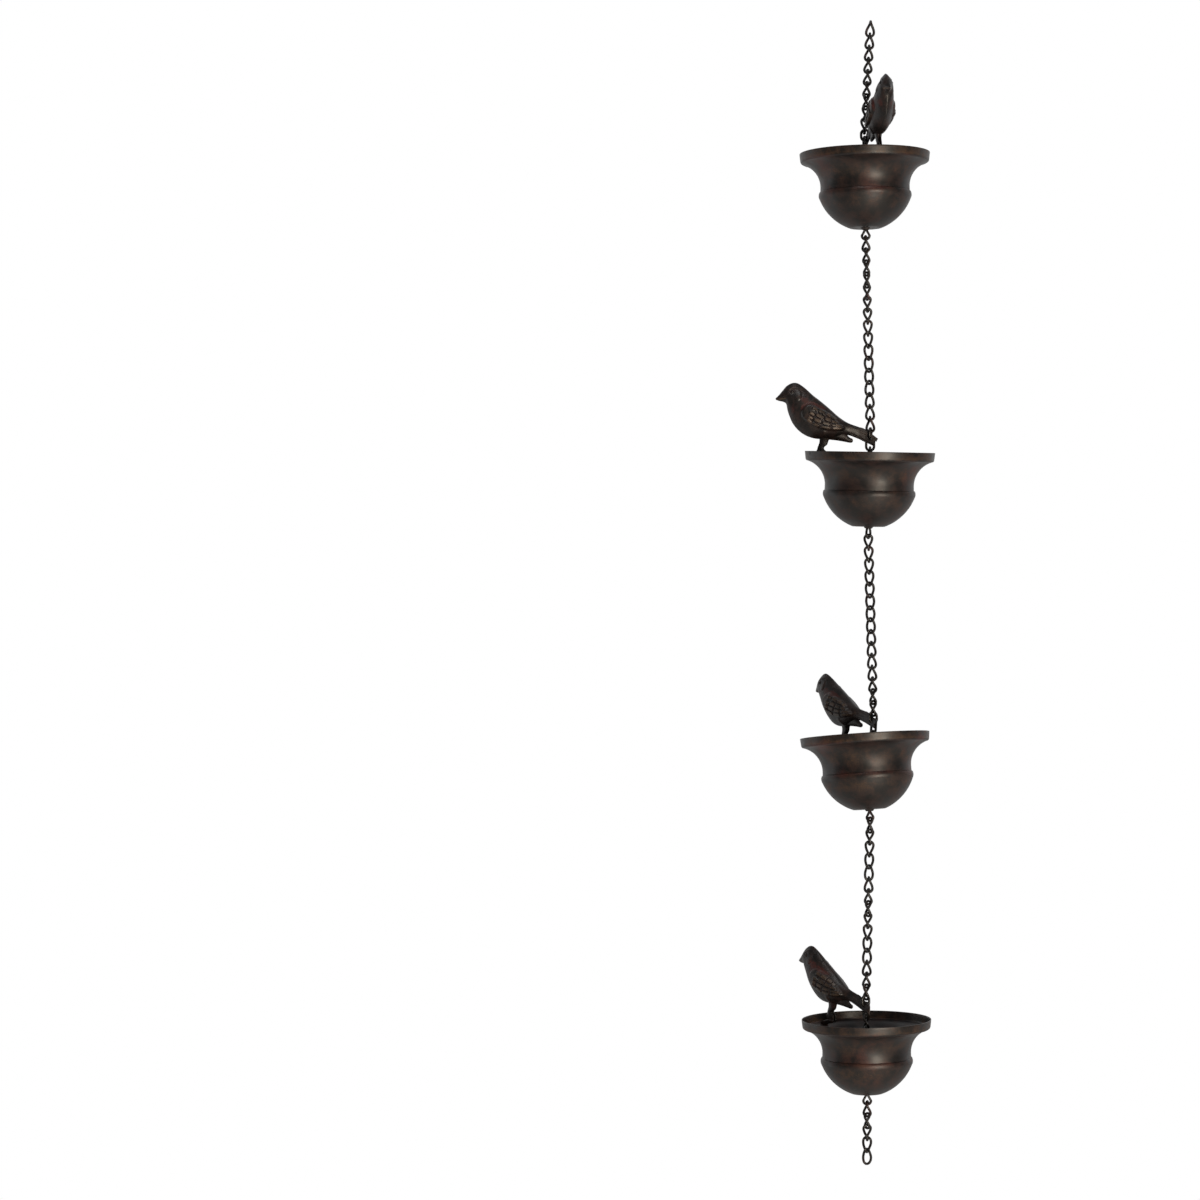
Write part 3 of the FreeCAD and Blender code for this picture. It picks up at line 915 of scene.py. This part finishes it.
    def ring_frames(self, rings: Table, step: float) -> list[Matrix]:
        """Section frames through rings, smoothly and evenly spaced.

        Args:
            rings: The rings to pass through.
            step: The distance between sections.

        Returns:
            The frames, each stretched to its ring.
        """
        frames = []
        for index in range(len(rings) - 1):
            a, b = np.array(rings[index]), np.array(rings[index + 1])
            gap = max(np.hypot(*(b - a)[0:2]), np.hypot(*(b - a)[2:4]))
            count = max(1, round(gap / step))
            for part in range(count):
                frames.append(self.ring_frame(catmull(rings, index + part / count)))
        frames.append(self.ring_frame(np.array(rings[-1])))
        return frames

    def ring_frame(self, ring: np.ndarray) -> Matrix:
        """The stretched frame of one ring."""
        top, bottom = Vector((ring[0], 0, ring[1])), Vector((ring[2], 0, ring[3]))
        half = (top - bottom) / 2
        side = Vector((0, max(float(ring[4]), 0.3), 0))
        basis = Matrix((half, side, half.cross(side).normalized())).transposed().to_4x4()
        return Matrix.Translation((top + bottom) / 2) @ basis

    def relief(self, x: np.ndarray, z: np.ndarray) -> tuple[np.ndarray, np.ndarray, np.ndarray]:
        """The pressed relief of one side.

        Args:
            x: Places along the bird.
            z: Places in height.

        Returns:
            How far each place stands proud in millimetres, how much its paint is
            rubbed, with a painted highlight on the cells' centres, and how much primer shows.
        """
        inside = -outline_distance(self.wing, x, z)
        plate = smooth(-0.3, 2.0, inside)
        feathered = smooth(-51.5, -47.5, x - 0.35 * (z - 30.0)) * plate
        height = self.plate_height * plate - 0.62 * feathered
        rub = 0.3 * plate * (1 - feathered)
        for cell in self.cells:
            angle = math.radians(cell.slope)
            along = (x - cell.x) * math.cos(angle) + (z - cell.z) * math.sin(angle)
            across = -(x - cell.x) * math.sin(angle) + (z - cell.z) * math.cos(angle)
            long, wide = cell.half_length + 0.55, cell.half_width + 0.42
            reach = (np.abs(along / long) ** 6 + np.abs(across / wide) ** 5) ** 0.19
            height += self.cell_height * (1 - smooth(0.74, 1.04, reach))
            # Each cell's centre gets rub colour: partly wear on the raised cell, partly a painted highlight.
            rub = np.maximum(rub, 0.95 * (1 - smooth(0.45, 0.98, reach)))
        tail = smooth(-20.0, -14.0, x)
        for line in self.lines:
            away = line_distance(line.points, x, z)
            share = tail if line.on_tail else 1.0
            height += line.height * hill(away, line.width) * share
            rub = np.maximum(rub, line.rub * hill(away, line.rub_and_sheen_width) * share)
        # The eye's ball in its hollow, then the cheek's raised patch and its groove
        eye = np.hypot(x - self.eye[0], z - self.eye[1])
        height += 0.75 * np.sqrt(np.clip(1 - (eye / 1.15) ** 2, 0, 1)) - 0.32 * hill(eye - 1.9, 0.5)
        along, above = (x - self.cheek[0]) / 3.2, (z - self.cheek[1]) / 4.4
        cheek = np.hypot(along, above)
        facing = smooth(-0.9, 0.6, 0.8 * along - 0.5 * above)
        height += 0.6 * (1 - smooth(0.86, 1.04, cheek)) * facing
        height -= 0.22 * hill(cheek - 1.18, 0.12) * facing
        rub = np.maximum(rub, 0.55 * (1 - smooth(0.5, 1.0, cheek)) * facing)
        nub = np.hypot(x - self.nub[0], z - self.nub[1])
        height += 0.55 * hill(nub, 1.3)
        rub = np.maximum(rub, 0.5 * hill(nub, 1.0))
        # The tail is rubbed at its root and its end
        root = np.hypot((x + 20.0) / 1.9, (z - 19.8) / 3.2)
        rub = np.maximum(rub, 0.6 * hill(root, 1.0))
        rub = np.maximum(rub, 0.3 * smooth(0.5, 5.0, x))
        shoulder = hill(inside, 1.6) * smooth(33.0, 38.0, z)
        neck = hill(x + 56.0, 4.0) * hill(z - 43.0, 2.5)
        breast = hill(x + 65.5, 2.6) * hill(z - 33.5, 5.5)
        front = hill(x + 58.0, 2.0) * hill(z - 32.0, 5.0)
        flush = np.clip(1.2 * shoulder + 0.9 * neck + 0.8 * breast + 0.7 * front, 0, 1.3)
        return height, rub, flush

    def shell(self, hole: tuple[float, float]) -> bpy.types.Object:
        """Both pressed halves closed on each other, with relief, rump, hole and notch.

        Args:
            hole: Where the tail link crosses the tail.

        Returns:
            The bird without its legs, in its own frame.
        """
        bm = bmesh.new()
        frames = self.ring_frames(self.body, self.ring_step)
        sweep(bm, frames, self.sides, False)
        bm.normal_update()
        co = np.array([vert.co for vert in bm.verts])
        normal = np.array([vert.normal for vert in bm.verts])
        # The head and the breast run to a point in the seam where the halves meet
        halves = np.repeat([frame.col[1].length for frame in frames], self.sides)
        pointed = 0.2 + 0.55 * (1 - smooth(-62.0, -48.0, co[:, 0]))
        co[:, 1] *= 1 - pointed * (1 - np.clip(np.abs(co[:, 1]) / halves, 0, 1))
        # The tail is flat sheet with hard edges, so its section is squared off
        flat = smooth(-16.0, -6.0, co[:, 0])
        own_half = np.interp(co[:, 0], [-17.5, -9.8, -4.4, 7.0], [2.9, 1.2, 0.7, 0.7])
        reach = np.clip(np.abs(co[:, 1]) / own_half, 0, 1)
        squared = np.sign(co[:, 1]) * own_half * (1 - (1 - reach) ** 3)
        co[:, 1] = co[:, 1] * (1 - flat) + squared * flat
        height, _, _ = self.relief(co[:, 0], co[:, 2])
        side = np.sign(np.where(np.abs(co[:, 1]) < self.seam, 0, co[:, 1]))
        co[:, 1] += height * np.clip(np.abs(normal[:, 1]) * 1.6, 0, 1) * side
        for vert, place in zip(bm.verts, co):
            vert.co = place
        bird = stored("bird_shell", bm, Matrix())
        worked(bird, swept("rump", self.ring_frames(self.rump, 0.8), 40), Work.JOIN)
        place = Matrix.Translation((hole[0] + self.hole_shift, 0, hole[1])) @ turned(90, "X")
        worked(bird, self.rod(28, self.hole_radius, place), Work.CUT)
        place = Matrix.Translation((self.notch[0], 0, self.notch[1])) @ turned(self.notch_turn, "Y")
        place = place @ turned(90, "X") @ turned(180)
        worked(bird, self.rod(3, self.notch_size, place), Work.CUT)
        return bird

    def rod(self, sides: int, radius: float, place: Matrix) -> bpy.types.Object:
        """A rod to cut with, longer than the bird's sheet is thick."""
        bm = bmesh.new()
        size = {"radius1": radius, "radius2": radius, "depth": self.rod_length}
        bmesh.ops.create_cone(bm, cap_ends=True, segments=sides, **size)
        return stored("rod", bm, place)

    def leg(self, side: Side) -> bpy.types.Object:
        """One leg with its toes, before it is fitted to a cup.

        Args:
            side: The half that the leg belongs to.

        Returns:
            The leg in the bird's frame.
        """
        rings = []
        for x, z, half_width, half_thick in self.leg_rings:
            drop = min(max((14.0 - z) / 18.5, 0.0), 1.0)
            y = side.value * (self.leg_spread + (self.foot_spread - self.leg_spread) * drop)
            rings.append((x, y, z, half_width, half_thick))
        frames = []
        for index in range(5 * (len(rings) - 1) + 1):
            x, y, z, half_width, half_thick = catmull(rings, index / 5)
            basis = Matrix(((half_width, 0, 0), (0, half_thick, 0), (0, 0, -1))).transposed().to_4x4()
            frames.append(Matrix.Translation((x, y, z)) @ basis)
        leg = swept("leg", frames, 28)
        frames = []
        last = len(self.toe_rings) - 1
        for index in range(15):
            x, z, half_height, half_width = catmull(self.toe_rings, index / 14 * last)
            basis = Matrix(((0, 0, half_height), (0, half_width, 0), (-1, 0, 0))).transposed().to_4x4()
            spread = self.foot_spread + self.toe_splay * index / 14
            frames.append(Matrix.Translation((x, side.value * spread, z)) @ basis)
        worked(leg, swept("toes", frames, 24), Work.JOIN)
        return leg


@dataclass(frozen=True)
class CupStage:
    """One cup with its bird, its inner chain and what hangs it."""

    number: int
    at: tuple[float, float]
    lean: tuple[float, float]
    bird: float
    hook: tuple[float, float]
    neck: float
    links: int
    turns: tuple[tuple[int, float], ...]

    def lean_matrix(self) -> Matrix:
        """The cup's lean to the right and to the back."""
        return turned(self.lean[0], "Y") @ turned(-self.lean[1], "X")


@dataclass
class Chain:
    """The whole chain, hung from the inside of its top link's crown."""

    paints: dict[Slot, bpy.types.Material]
    lowest: float
    highest: float
    side_gap: float = 0.15
    seat_gap: float = 0.2
    room_rise: float = 60.0
    inner_links: int = 7
    tail_turn: float = 75.0
    slit_cup: int = 2
    bottom_links: int = 5
    bottom_turns: tuple[tuple[int, float], ...] = ((0, -60.0), (4, -190.0))
    link: WireLink = WireLink()
    flat_link: WireLink = WireLink(twist=0.0)
    tail_link: WireLink = WireLink(length=11.31, twist=0.0)
    neck_link: NeckLink = NeckLink()
    cup: RainCup = RainCup()
    bird: SheetBird = SheetBird()
    meshes: dict[Bend, bpy.types.Mesh] = field(default_factory=dict)
    # Number, place, lean, the bird's turn, the hook's place, the neck's turn, links and their turns
    stages: tuple[CupStage, ...] = tuple(
        CupStage(*row)
        for row in (
            (1, (-3.8, 0.0), (-0.9, 3.5), 104.5, (0.0, 0.0), 130.0, 9, ((0, -40.0), (5, -70.0), (8, -120.5))),
            (2, (-0.8, 0.0), (1.0, 0.0), 0.0, (0.0, 0.0), 25.0, 16, ((0, 118.0), (15, -45.0))),
            (3, (0.6, 0.0), (-3.9, 6.0), -54.2, (8.6, 6.2), 110.0, 15, ((0, 45.0), (11, -40.0), (14, -99.2))),
            (4, (-0.9, 0.0), (-0.7, 0.0), -45.7, (0.0, 0.0), -45.0, 15, ((0, 90.0), (14, -270.7))),
        )
    )

    def tail_stand(self) -> float:
        """How far the tail's middle plane stands off the chain's axis."""
        return self.link.wire / 2 + self.side_gap + self.bird.sheet

    def tail_link_stand(self) -> float:
        """How far the tail link's axis stands off the chain's axis."""
        inside = self.link.width / 2 - self.link.wire
        return self.tail_stand() - (inside - self.bird.sheet - self.side_gap)

    def tail_pitch(self) -> float:
        """Distance between the tail link's junctions, whose neighbours ride up its arcs."""
        trough = self.link.width / 2 - 1.5 * self.link.wire - PLAY
        ride = trough - math.sqrt(trough**2 - self.tail_link_stand() ** 2)
        return self.tail_link.pitch - 2 * ride - self.side_gap

    def tail_height(self, stage: CupStage) -> float:
        """Height of the tail link's middle above a cup's floor."""
        reach = self.inner_links * self.link.pitch
        rise = math.sqrt(reach**2 - stage.hook[0] ** 2 - stage.hook[1] ** 2)
        return self.neck_link.seat + rise + self.tail_pitch() / 2

    def turn_at(self, turns: Table, index: int) -> float:
        """The turn of a link in a run, between the turns that the run states."""
        for (first, start), (last, end) in zip(turns, turns[1:]):
            if index <= last:
                return start + (end - start) * (index - first) / (last - first)
        return turns[-1][1]

    def hung(self, upper: Vector, lower: Vector, turn: float) -> Matrix:
        """The place of a link between its two junctions.

        Args:
            upper: The upper junction.
            lower: The lower junction.
            turn: The link's turn about its length.

        Returns:
            Its matrix.
        """
        tilt = Vector((0, 0, 1)).rotation_difference((upper - lower).normalized())
        return Matrix.Translation((upper + lower) / 2) @ tilt.to_matrix().to_4x4() @ turned(turn)

    def run(self, upper: Vector, lower: Vector, turns: Table, count: int) -> list[Matrix]:
        """The places of the links of a straight run.

        Args:
            upper: The first junction.
            lower: The last junction.
            turns: The turns that the run states.
            count: The number of links.

        Returns:
            A matrix for each link.
        """
        step = (lower - upper) / count
        return [
            self.hung(upper + step * index, upper + step * (index + 1), self.turn_at(turns, index))
            for index in range(count)
        ]

    def hang(self, name: str, bend: Bend, places: list[Matrix], node: str) -> None:
        """Repeat a link at its places as one piece.

        Args:
            name: The piece's name.
            bend: Which link it is.
            places: A matrix for each link.
            node: The CAD node that it replaces.
        """
        bm = bmesh.new()
        for place in places:
            before = len(bm.verts)
            bm.from_mesh(self.meshes[bend])
            bm.verts.ensure_lookup_table()
            bmesh.ops.transform(bm, matrix=place, verts=bm.verts[before:])
        # The end links' crowns have a small flat where they hang and are hung from
        for vert in bm.verts:
            vert.co.z = min(max(vert.co.z, self.lowest), self.highest)
        piece = stored(name, bm, Matrix())
        self.wear(piece, len(places))
        hand_over(piece, self.paints[Slot.WIRE], [node])

    def wear(self, piece: bpy.types.Object, links: int) -> None:
        """Give each link its own share of rub and primer.

        Args:
            piece: The links.
            links: How many they are.
        """
        rng = random.Random(piece.name)
        shares = [(0.4 * rng.random() ** 3, 0.2 * rng.random()) for _ in range(links)]
        count = len(piece.data.vertices) // links
        for name, values in zip(("rub", "flush"), zip(*shares)):
            point_values(piece, name, np.repeat(values, count))

    def room(self, place: Matrix) -> bpy.types.Object:
        """The space inside a cup and above it, which a bird's legs are trimmed to.

        Args:
            place: Where the room goes.

        Returns:
            A closed mesh.
        """
        cup = self.cup
        bm = bmesh.new()
        reach = cup.rim_radius - cup.rim_taper - cup.wall - self.seat_gap
        level = cup.height - cup.rim_band
        inner = cup.wall + self.seat_gap
        top = cup.height + self.room_rise
        vert = bm.verts.new((0, 0, top))
        shelf = (reach, top), (reach, level + 0.2), (reach - 0.9, level - 0.9), (reach - 3.0, level - 1.6)
        flare = (47.4 - inner, 53.8), (43.4 - inner, 50.2), (37.0 - inner, 36.0), (30.0, 20.0), (0, 20.0)
        for point in shelf + flare:
            vert = cup.line(bm, vert, point, 1)
        spun_round(bm, 96)
        return stored("room", bm, place)

    def perch(self, stage: CupStage, place: Matrix, shell: bpy.types.Object) -> None:
        """Put a bird on a cup, with its legs trimmed to it.

        Args:
            stage: The cup's stage.
            place: Where the cup is, in millimetres.
            shell: The bird without legs, in its own frame, in metres.
        """
        perch = Matrix.Translation((*stage.hook, self.cup.height)) @ turned(stage.bird)
        perch = perch @ Matrix.Translation((0, -self.tail_stand(), 0))
        bird = bpy.data.objects.new(f"bird_{stage.number}", shell.data.copy())
        bpy.context.scene.collection.objects.link(bird)
        for side in Side:
            leg = self.bird.leg(side)
            worked(leg, self.room(perch.inverted()), Work.TRIM)
            worked(bird, leg, Work.JOIN)
        own = points_of(bird) / MM
        _, rub, flush = self.bird.relief(own[:, 0], own[:, 2])
        facing = np.clip(np.abs(own[:, 1]) / 1.2, 0, 1)
        point_values(bird, "rub", rub * np.maximum(facing, smooth(-20, -8, own[:, 0])))
        point_values(bird, "flush", flush)
        moved(bird, place @ perch)
        bird.data.polygons.foreach_set("use_smooth", [True] * len(bird.data.polygons))
        bird.data.set_sharp_from_angle(angle=math.radians(self.bird.sharp_edge))
        halves = [f"bird_{stage.number}_{side.name.lower()}_half" for side in Side]
        hand_over(bird, self.paints[Slot.BIRD], halves)

    def hole_place(self, stage: CupStage) -> tuple[float, float]:
        """Where the tail link crosses the tail, in the bird's side view."""
        lead = self.tail_stand() - self.tail_link_stand()
        angle = math.radians(self.tail_turn)
        radius = (self.tail_link.width - self.tail_link.wire) / 2
        centre = self.tail_height(stage) - (self.tail_link.length - self.tail_link.wire) / 2 + radius
        height = centre - math.sqrt(radius**2 - (lead / math.sin(angle)) ** 2) - self.cup.height
        return -lead / math.tan(angle), height

    def build(self) -> None:
        """Build everything from the top down."""
        # In the order of the kinds
        links = self.link, self.flat_link, self.tail_link, self.neck_link
        self.meshes = {bend: link.mesh() for bend, link in zip(Bend, links)}
        shell = self.bird.shell(self.hole_place(self.stages[0]))
        upper = Vector((0, 0, -PLAY / 2))
        for stage in self.stages:
            upper = self.build_stage(stage, upper, shell)
        bpy.data.objects.remove(shell)
        lower = upper - Vector((0, 0, self.bottom_links * self.link.pitch))
        places = self.run(upper, lower, self.bottom_turns, self.bottom_links)
        self.hang("bottom_run", Bend.PLAIN, places[:-1], "chain_bottom")
        self.hang("bottom_end_link", Bend.PLAIN, places[-1:], "bottom_link")

    def build_stage(self, stage: CupStage, upper: Vector, shell: bpy.types.Object) -> Vector:
        """Build one cup with the run above it.

        Args:
            stage: The cup's stage.
            upper: The junction that the run hangs from.
            shell: The bird without legs.

        Returns:
            The junction that the next run hangs from.
        """
        number = stage.number
        hook = Vector((*stage.hook, 0))
        lean = stage.lean_matrix()
        middle = self.tail_height(stage)
        tail_top = hook + Vector((0, 0, middle + self.tail_pitch() / 2))
        tail_bottom = hook + Vector((0, 0, middle - self.tail_pitch() / 2))
        reach = lean @ tail_top
        across = Vector((stage.at[0] + reach.x - upper.x, stage.at[1] + reach.y - upper.y, 0))
        drop = math.sqrt((stage.links * self.link.pitch) ** 2 - across.length_squared)
        lower = upper + across - Vector((0, 0, drop))
        place = Matrix.Translation(lower - reach) @ lean
        places = self.run(upper, lower, stage.turns, stage.links)
        if number == 1:
            self.hang("top_end_link", Bend.PLAIN, places[:1], "top_link")
            self.hang("top_run", Bend.PLAIN, places[1:], "chain_top")
        else:
            self.hang(f"run_to_cup_{number}", Bend.PLAIN, places, f"chain_{number - 1}_{number}")
        self.hang_inside(stage, place, tail_top, tail_bottom)
        cup = stored(f"spun_cup_{number}", self.cup.mesh(), Matrix())
        if number == self.slit_cup:
            worked(cup, self.cup.slit_tool(), Work.CUT)
        moved(cup, place)
        cup.data.set_sharp_from_angle(angle=math.radians(self.cup.sharp_edge))
        self.cup.dress_values(cup, place, number)
        hand_over(cup, self.paints[Slot.CUP], [f"cup_{number}"])
        self.perch(stage, place, shell)
        return place @ Vector((0, 0, -self.neck_link.drop + self.link.wire + PLAY / 2))

    def hang_inside(self, stage: CupStage, place: Matrix, tail_top: Vector, tail_bottom: Vector) -> None:
        """Hang the tail link, the run inside the cup and the neck link.

        Args:
            stage: The cup's stage.
            place: Where the cup is, in millimetres.
            tail_top: The tail link's upper junction, in the cup's frame.
            tail_bottom: Its lower junction.
        """
        number = stage.number
        stand = turned(stage.bird) @ Vector((0, -self.tail_link_stand(), 0))
        tail = self.hung(tail_top + stand, tail_bottom + stand, stage.bird + self.tail_turn)
        self.hang(f"tail_loop_{number}", Bend.TAIL, [place @ tail], f"tail_link_{number}")
        seat = Vector((0, 0, self.neck_link.seat))
        step = (seat - tail_bottom) / self.inner_links
        start = stage.bird - self.link.twist / 2
        goal = start + (stage.neck - start + 90) % 180 - 90
        turns = ((0, start), (self.inner_links - 1, goal))
        # The run inside the cup is one node, and its first link is flat
        flat = self.hung(tail_bottom, tail_bottom + step, stage.bird)
        self.hang(f"flat_link_{number}", Bend.FLAT, [place @ flat], f"chain_in_cup_{number}")
        inner = [place @ one for one in self.run(tail_bottom + step, seat, turns, self.inner_links - 1)]
        self.hang(f"inner_run_{number}", Bend.PLAIN, inner, f"chain_in_cup_{number}")
        neck = place @ turned(stage.neck)
        self.hang(f"neck_loop_{number}", Bend.NECK, [neck], f"neck_link_{number}")


@dataclass(frozen=True)
class Studio:
    """White studio with soft light, and the photograph's camera."""

    distance: float = 3393.0
    eye_height: float = -372.3
    yaw: float = 3.85
    pitch: float = -1.93
    lens: float = 120.1
    sensor: float = 36.0
    floor_level: float = -2300.0
    sweep_from: float = 3.0
    gloss_share: float = 0.35
    dark_until: float = 0.1
    bright_from: float = 0.75
    room_level: float = 0.07
    paper_level: float = 0.6

    def camera(self) -> None:
        """Place the camera straight in front of the chain, turned left and down."""
        data = bpy.data.cameras.new("photo_camera")
        data.lens = self.lens
        data.sensor_width = self.sensor
        data.clip_end = 60.0
        camera = bpy.data.objects.new("photo_camera", data)
        camera.location = (0, -self.distance * MM, self.eye_height * MM)
        camera.rotation_euler = (math.radians(90 + self.pitch), 0, math.radians(self.yaw))
        bpy.context.scene.collection.objects.link(camera)
        bpy.context.scene.camera = camera

    def floor_material(self) -> bpy.types.Material:
        """A pale floor that the camera sees as white paper, and so does gloss behind the chain."""
        material = bpy.data.materials.new("white_paper_sweep")
        tree = blank_tree(material)
        place = add(tree, "TexCoord", {}, "Object")
        back = add(tree, "SeparateXYZ", {0: place}, "Y")
        back = add(tree, "MapRange", {"Value": back, "From Min": 0.0, "From Max": self.sweep_from})
        paper = add(tree, "BsdfDiffuse", {"Color": srgb("#e8e8e6")})
        glow = add(tree, "Emission", {"Strength": 1.0})
        surface = add(tree, "MixShader", {0: self.seen(tree, back), 1: paper, 2: glow})
        add(tree, "OutputMaterial", {"Surface": surface})
        return material

    def seen(self, tree: bpy.types.NodeTree, paper: bpy.types.NodeSocket) -> bpy.types.NodeSocket:
        """Where plain white shows: to the camera, and to gloss where the paper is.

        Args:
            tree: The node tree.
            paper: How much of the white paper lies that way.

        Returns:
            The share of plain white.
        """
        camera = add(tree, "LightPath", {}, "Is Camera Ray")
        glossy = add(tree, "LightPath", {}, "Is Glossy Ray")
        clear = add(tree, "LightPath", {}, "Is Transmission Ray")
        other = add(tree, "Math", {0: glossy, 1: clear}, operation="ADD")
        paper = add(tree, "Math", {0: paper, 1: self.gloss_share}, operation="MULTIPLY")
        shares = {0: other, 1: paper, 2: camera}
        return add(tree, "Math", shares, operation="MULTIPLY_ADD", use_clamp=True)

    def floor(self) -> None:
        """Lay a pale floor well below the hanging chain."""
        bm = bmesh.new()
        bmesh.ops.create_grid(bm, x_segments=2, y_segments=2, size=9000.0)
        floor = stored("floor", bm, Matrix.Translation((0, 0, self.floor_level)))
        floor.data.materials.append(self.floor_material())
        floor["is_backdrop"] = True

    def world(self) -> None:
        """White paper behind the chain, and a dim room in front of it."""
        world = bpy.data.worlds.new("studio")
        tree = blank_tree(world)
        place = add(tree, "TexCoord", {}, "Generated")
        back = add(tree, "SeparateXYZ", {0: place}, "Y")
        span = {"From Min": self.dark_until, "From Max": self.bright_from}
        back = add(tree, "MapRange", {"Value": back, **span}, interpolation_type="SMOOTHSTEP")
        levels = {"To Min": self.room_level, "To Max": self.paper_level}
        level = add(tree, "MapRange", {"Value": back, **levels})
        white = (1.0, 1.0, 1.0, 1.0)
        room = add(tree, "Background", {"Color": white, "Strength": level})
        paper = add(tree, "Background", {"Color": white, "Strength": 1.0})
        surface = add(tree, "MixShader", {0: self.seen(tree, back), 1: room, 2: paper})
        add(tree, "OutputWorld", {"Surface": surface})
        bpy.context.scene.world = world

    def lamp(
        self, name: str, place: tuple[float, ...], size: tuple[float, float], power: float, tint: str
    ) -> None:
        """Add one soft box that faces the middle of the chain.

        Args:
            name: Its name.
            place: Where it stands, in metres.
            size: Its width and height, in metres.
            power: Its power in watts.
            tint: Its colour, six hex digits.
        """
        data = bpy.data.lights.new(name, "AREA")
        data.shape = "RECTANGLE"
        data.size, data.size_y = size
        data.energy = power
        data.color = srgb(tint)[:3]
        lamp = bpy.data.objects.new(name, data)
        lamp.location = place
        direction = Vector((0, 0, -0.5)) - Vector(place)
        lamp.rotation_euler = direction.to_track_quat("-Z", "Y").to_euler()
        bpy.context.scene.collection.objects.link(lamp)

    def light(self) -> None:
        """Light the chain from the left, the right front, below the front and above."""
        self.lamp("left_box", (-2.4, 0.5, -0.9), (0.8, 2.4), 5.0, "#ffffff")
        self.lamp("front_box", (1.5, -2.9, -0.9), (0.8, 1.2), 72.0, "#fff0dc")
        self.lamp("low_box", (0.9, -2.4, -1.9), (1.2, 0.8), 11.0, "#fff4e8")
        self.lamp("top_box", (0.0, -1.4, 2.2), (1.4, 1.0), 20.0, "#ffffff")


def main() -> None:
    """Build the scene, with the chain held inside the height of the CAD parts."""
    scene = bpy.context.scene
    scene.view_settings.view_transform = "Standard"
    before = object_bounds()
    studio = Studio()
    studio.camera()
    studio.world()
    studio.floor()
    studio.light()
    wire = BronzePaint(
        "painted_iron_wire",
        dark="#151313",
        ground="#1e1a19",
        gloss=0.36,
        rub_and_sheen_reach=0.45,
        ground_grain=5.0,
        bump=0.04,
    )
    cup = BronzePaint("painted_spun_iron", rub_and_sheen_reach=0.45, flush_reach=0.4)
    bird = BronzePaint(
        "painted_pressed_iron", rub="#6b5a4b", ground_grain=6.0, rub_and_sheen_reach=0.46, flush_reach=0.5, bump=0.06
    )
    paints = {Slot.WIRE: wire.build(), Slot.CUP: cup.build(), Slot.BIRD: bird.build()}
    Chain(paints, before[0][2] / MM, before[1][2] / MM).build()


if __name__ == "__main__":
    main()
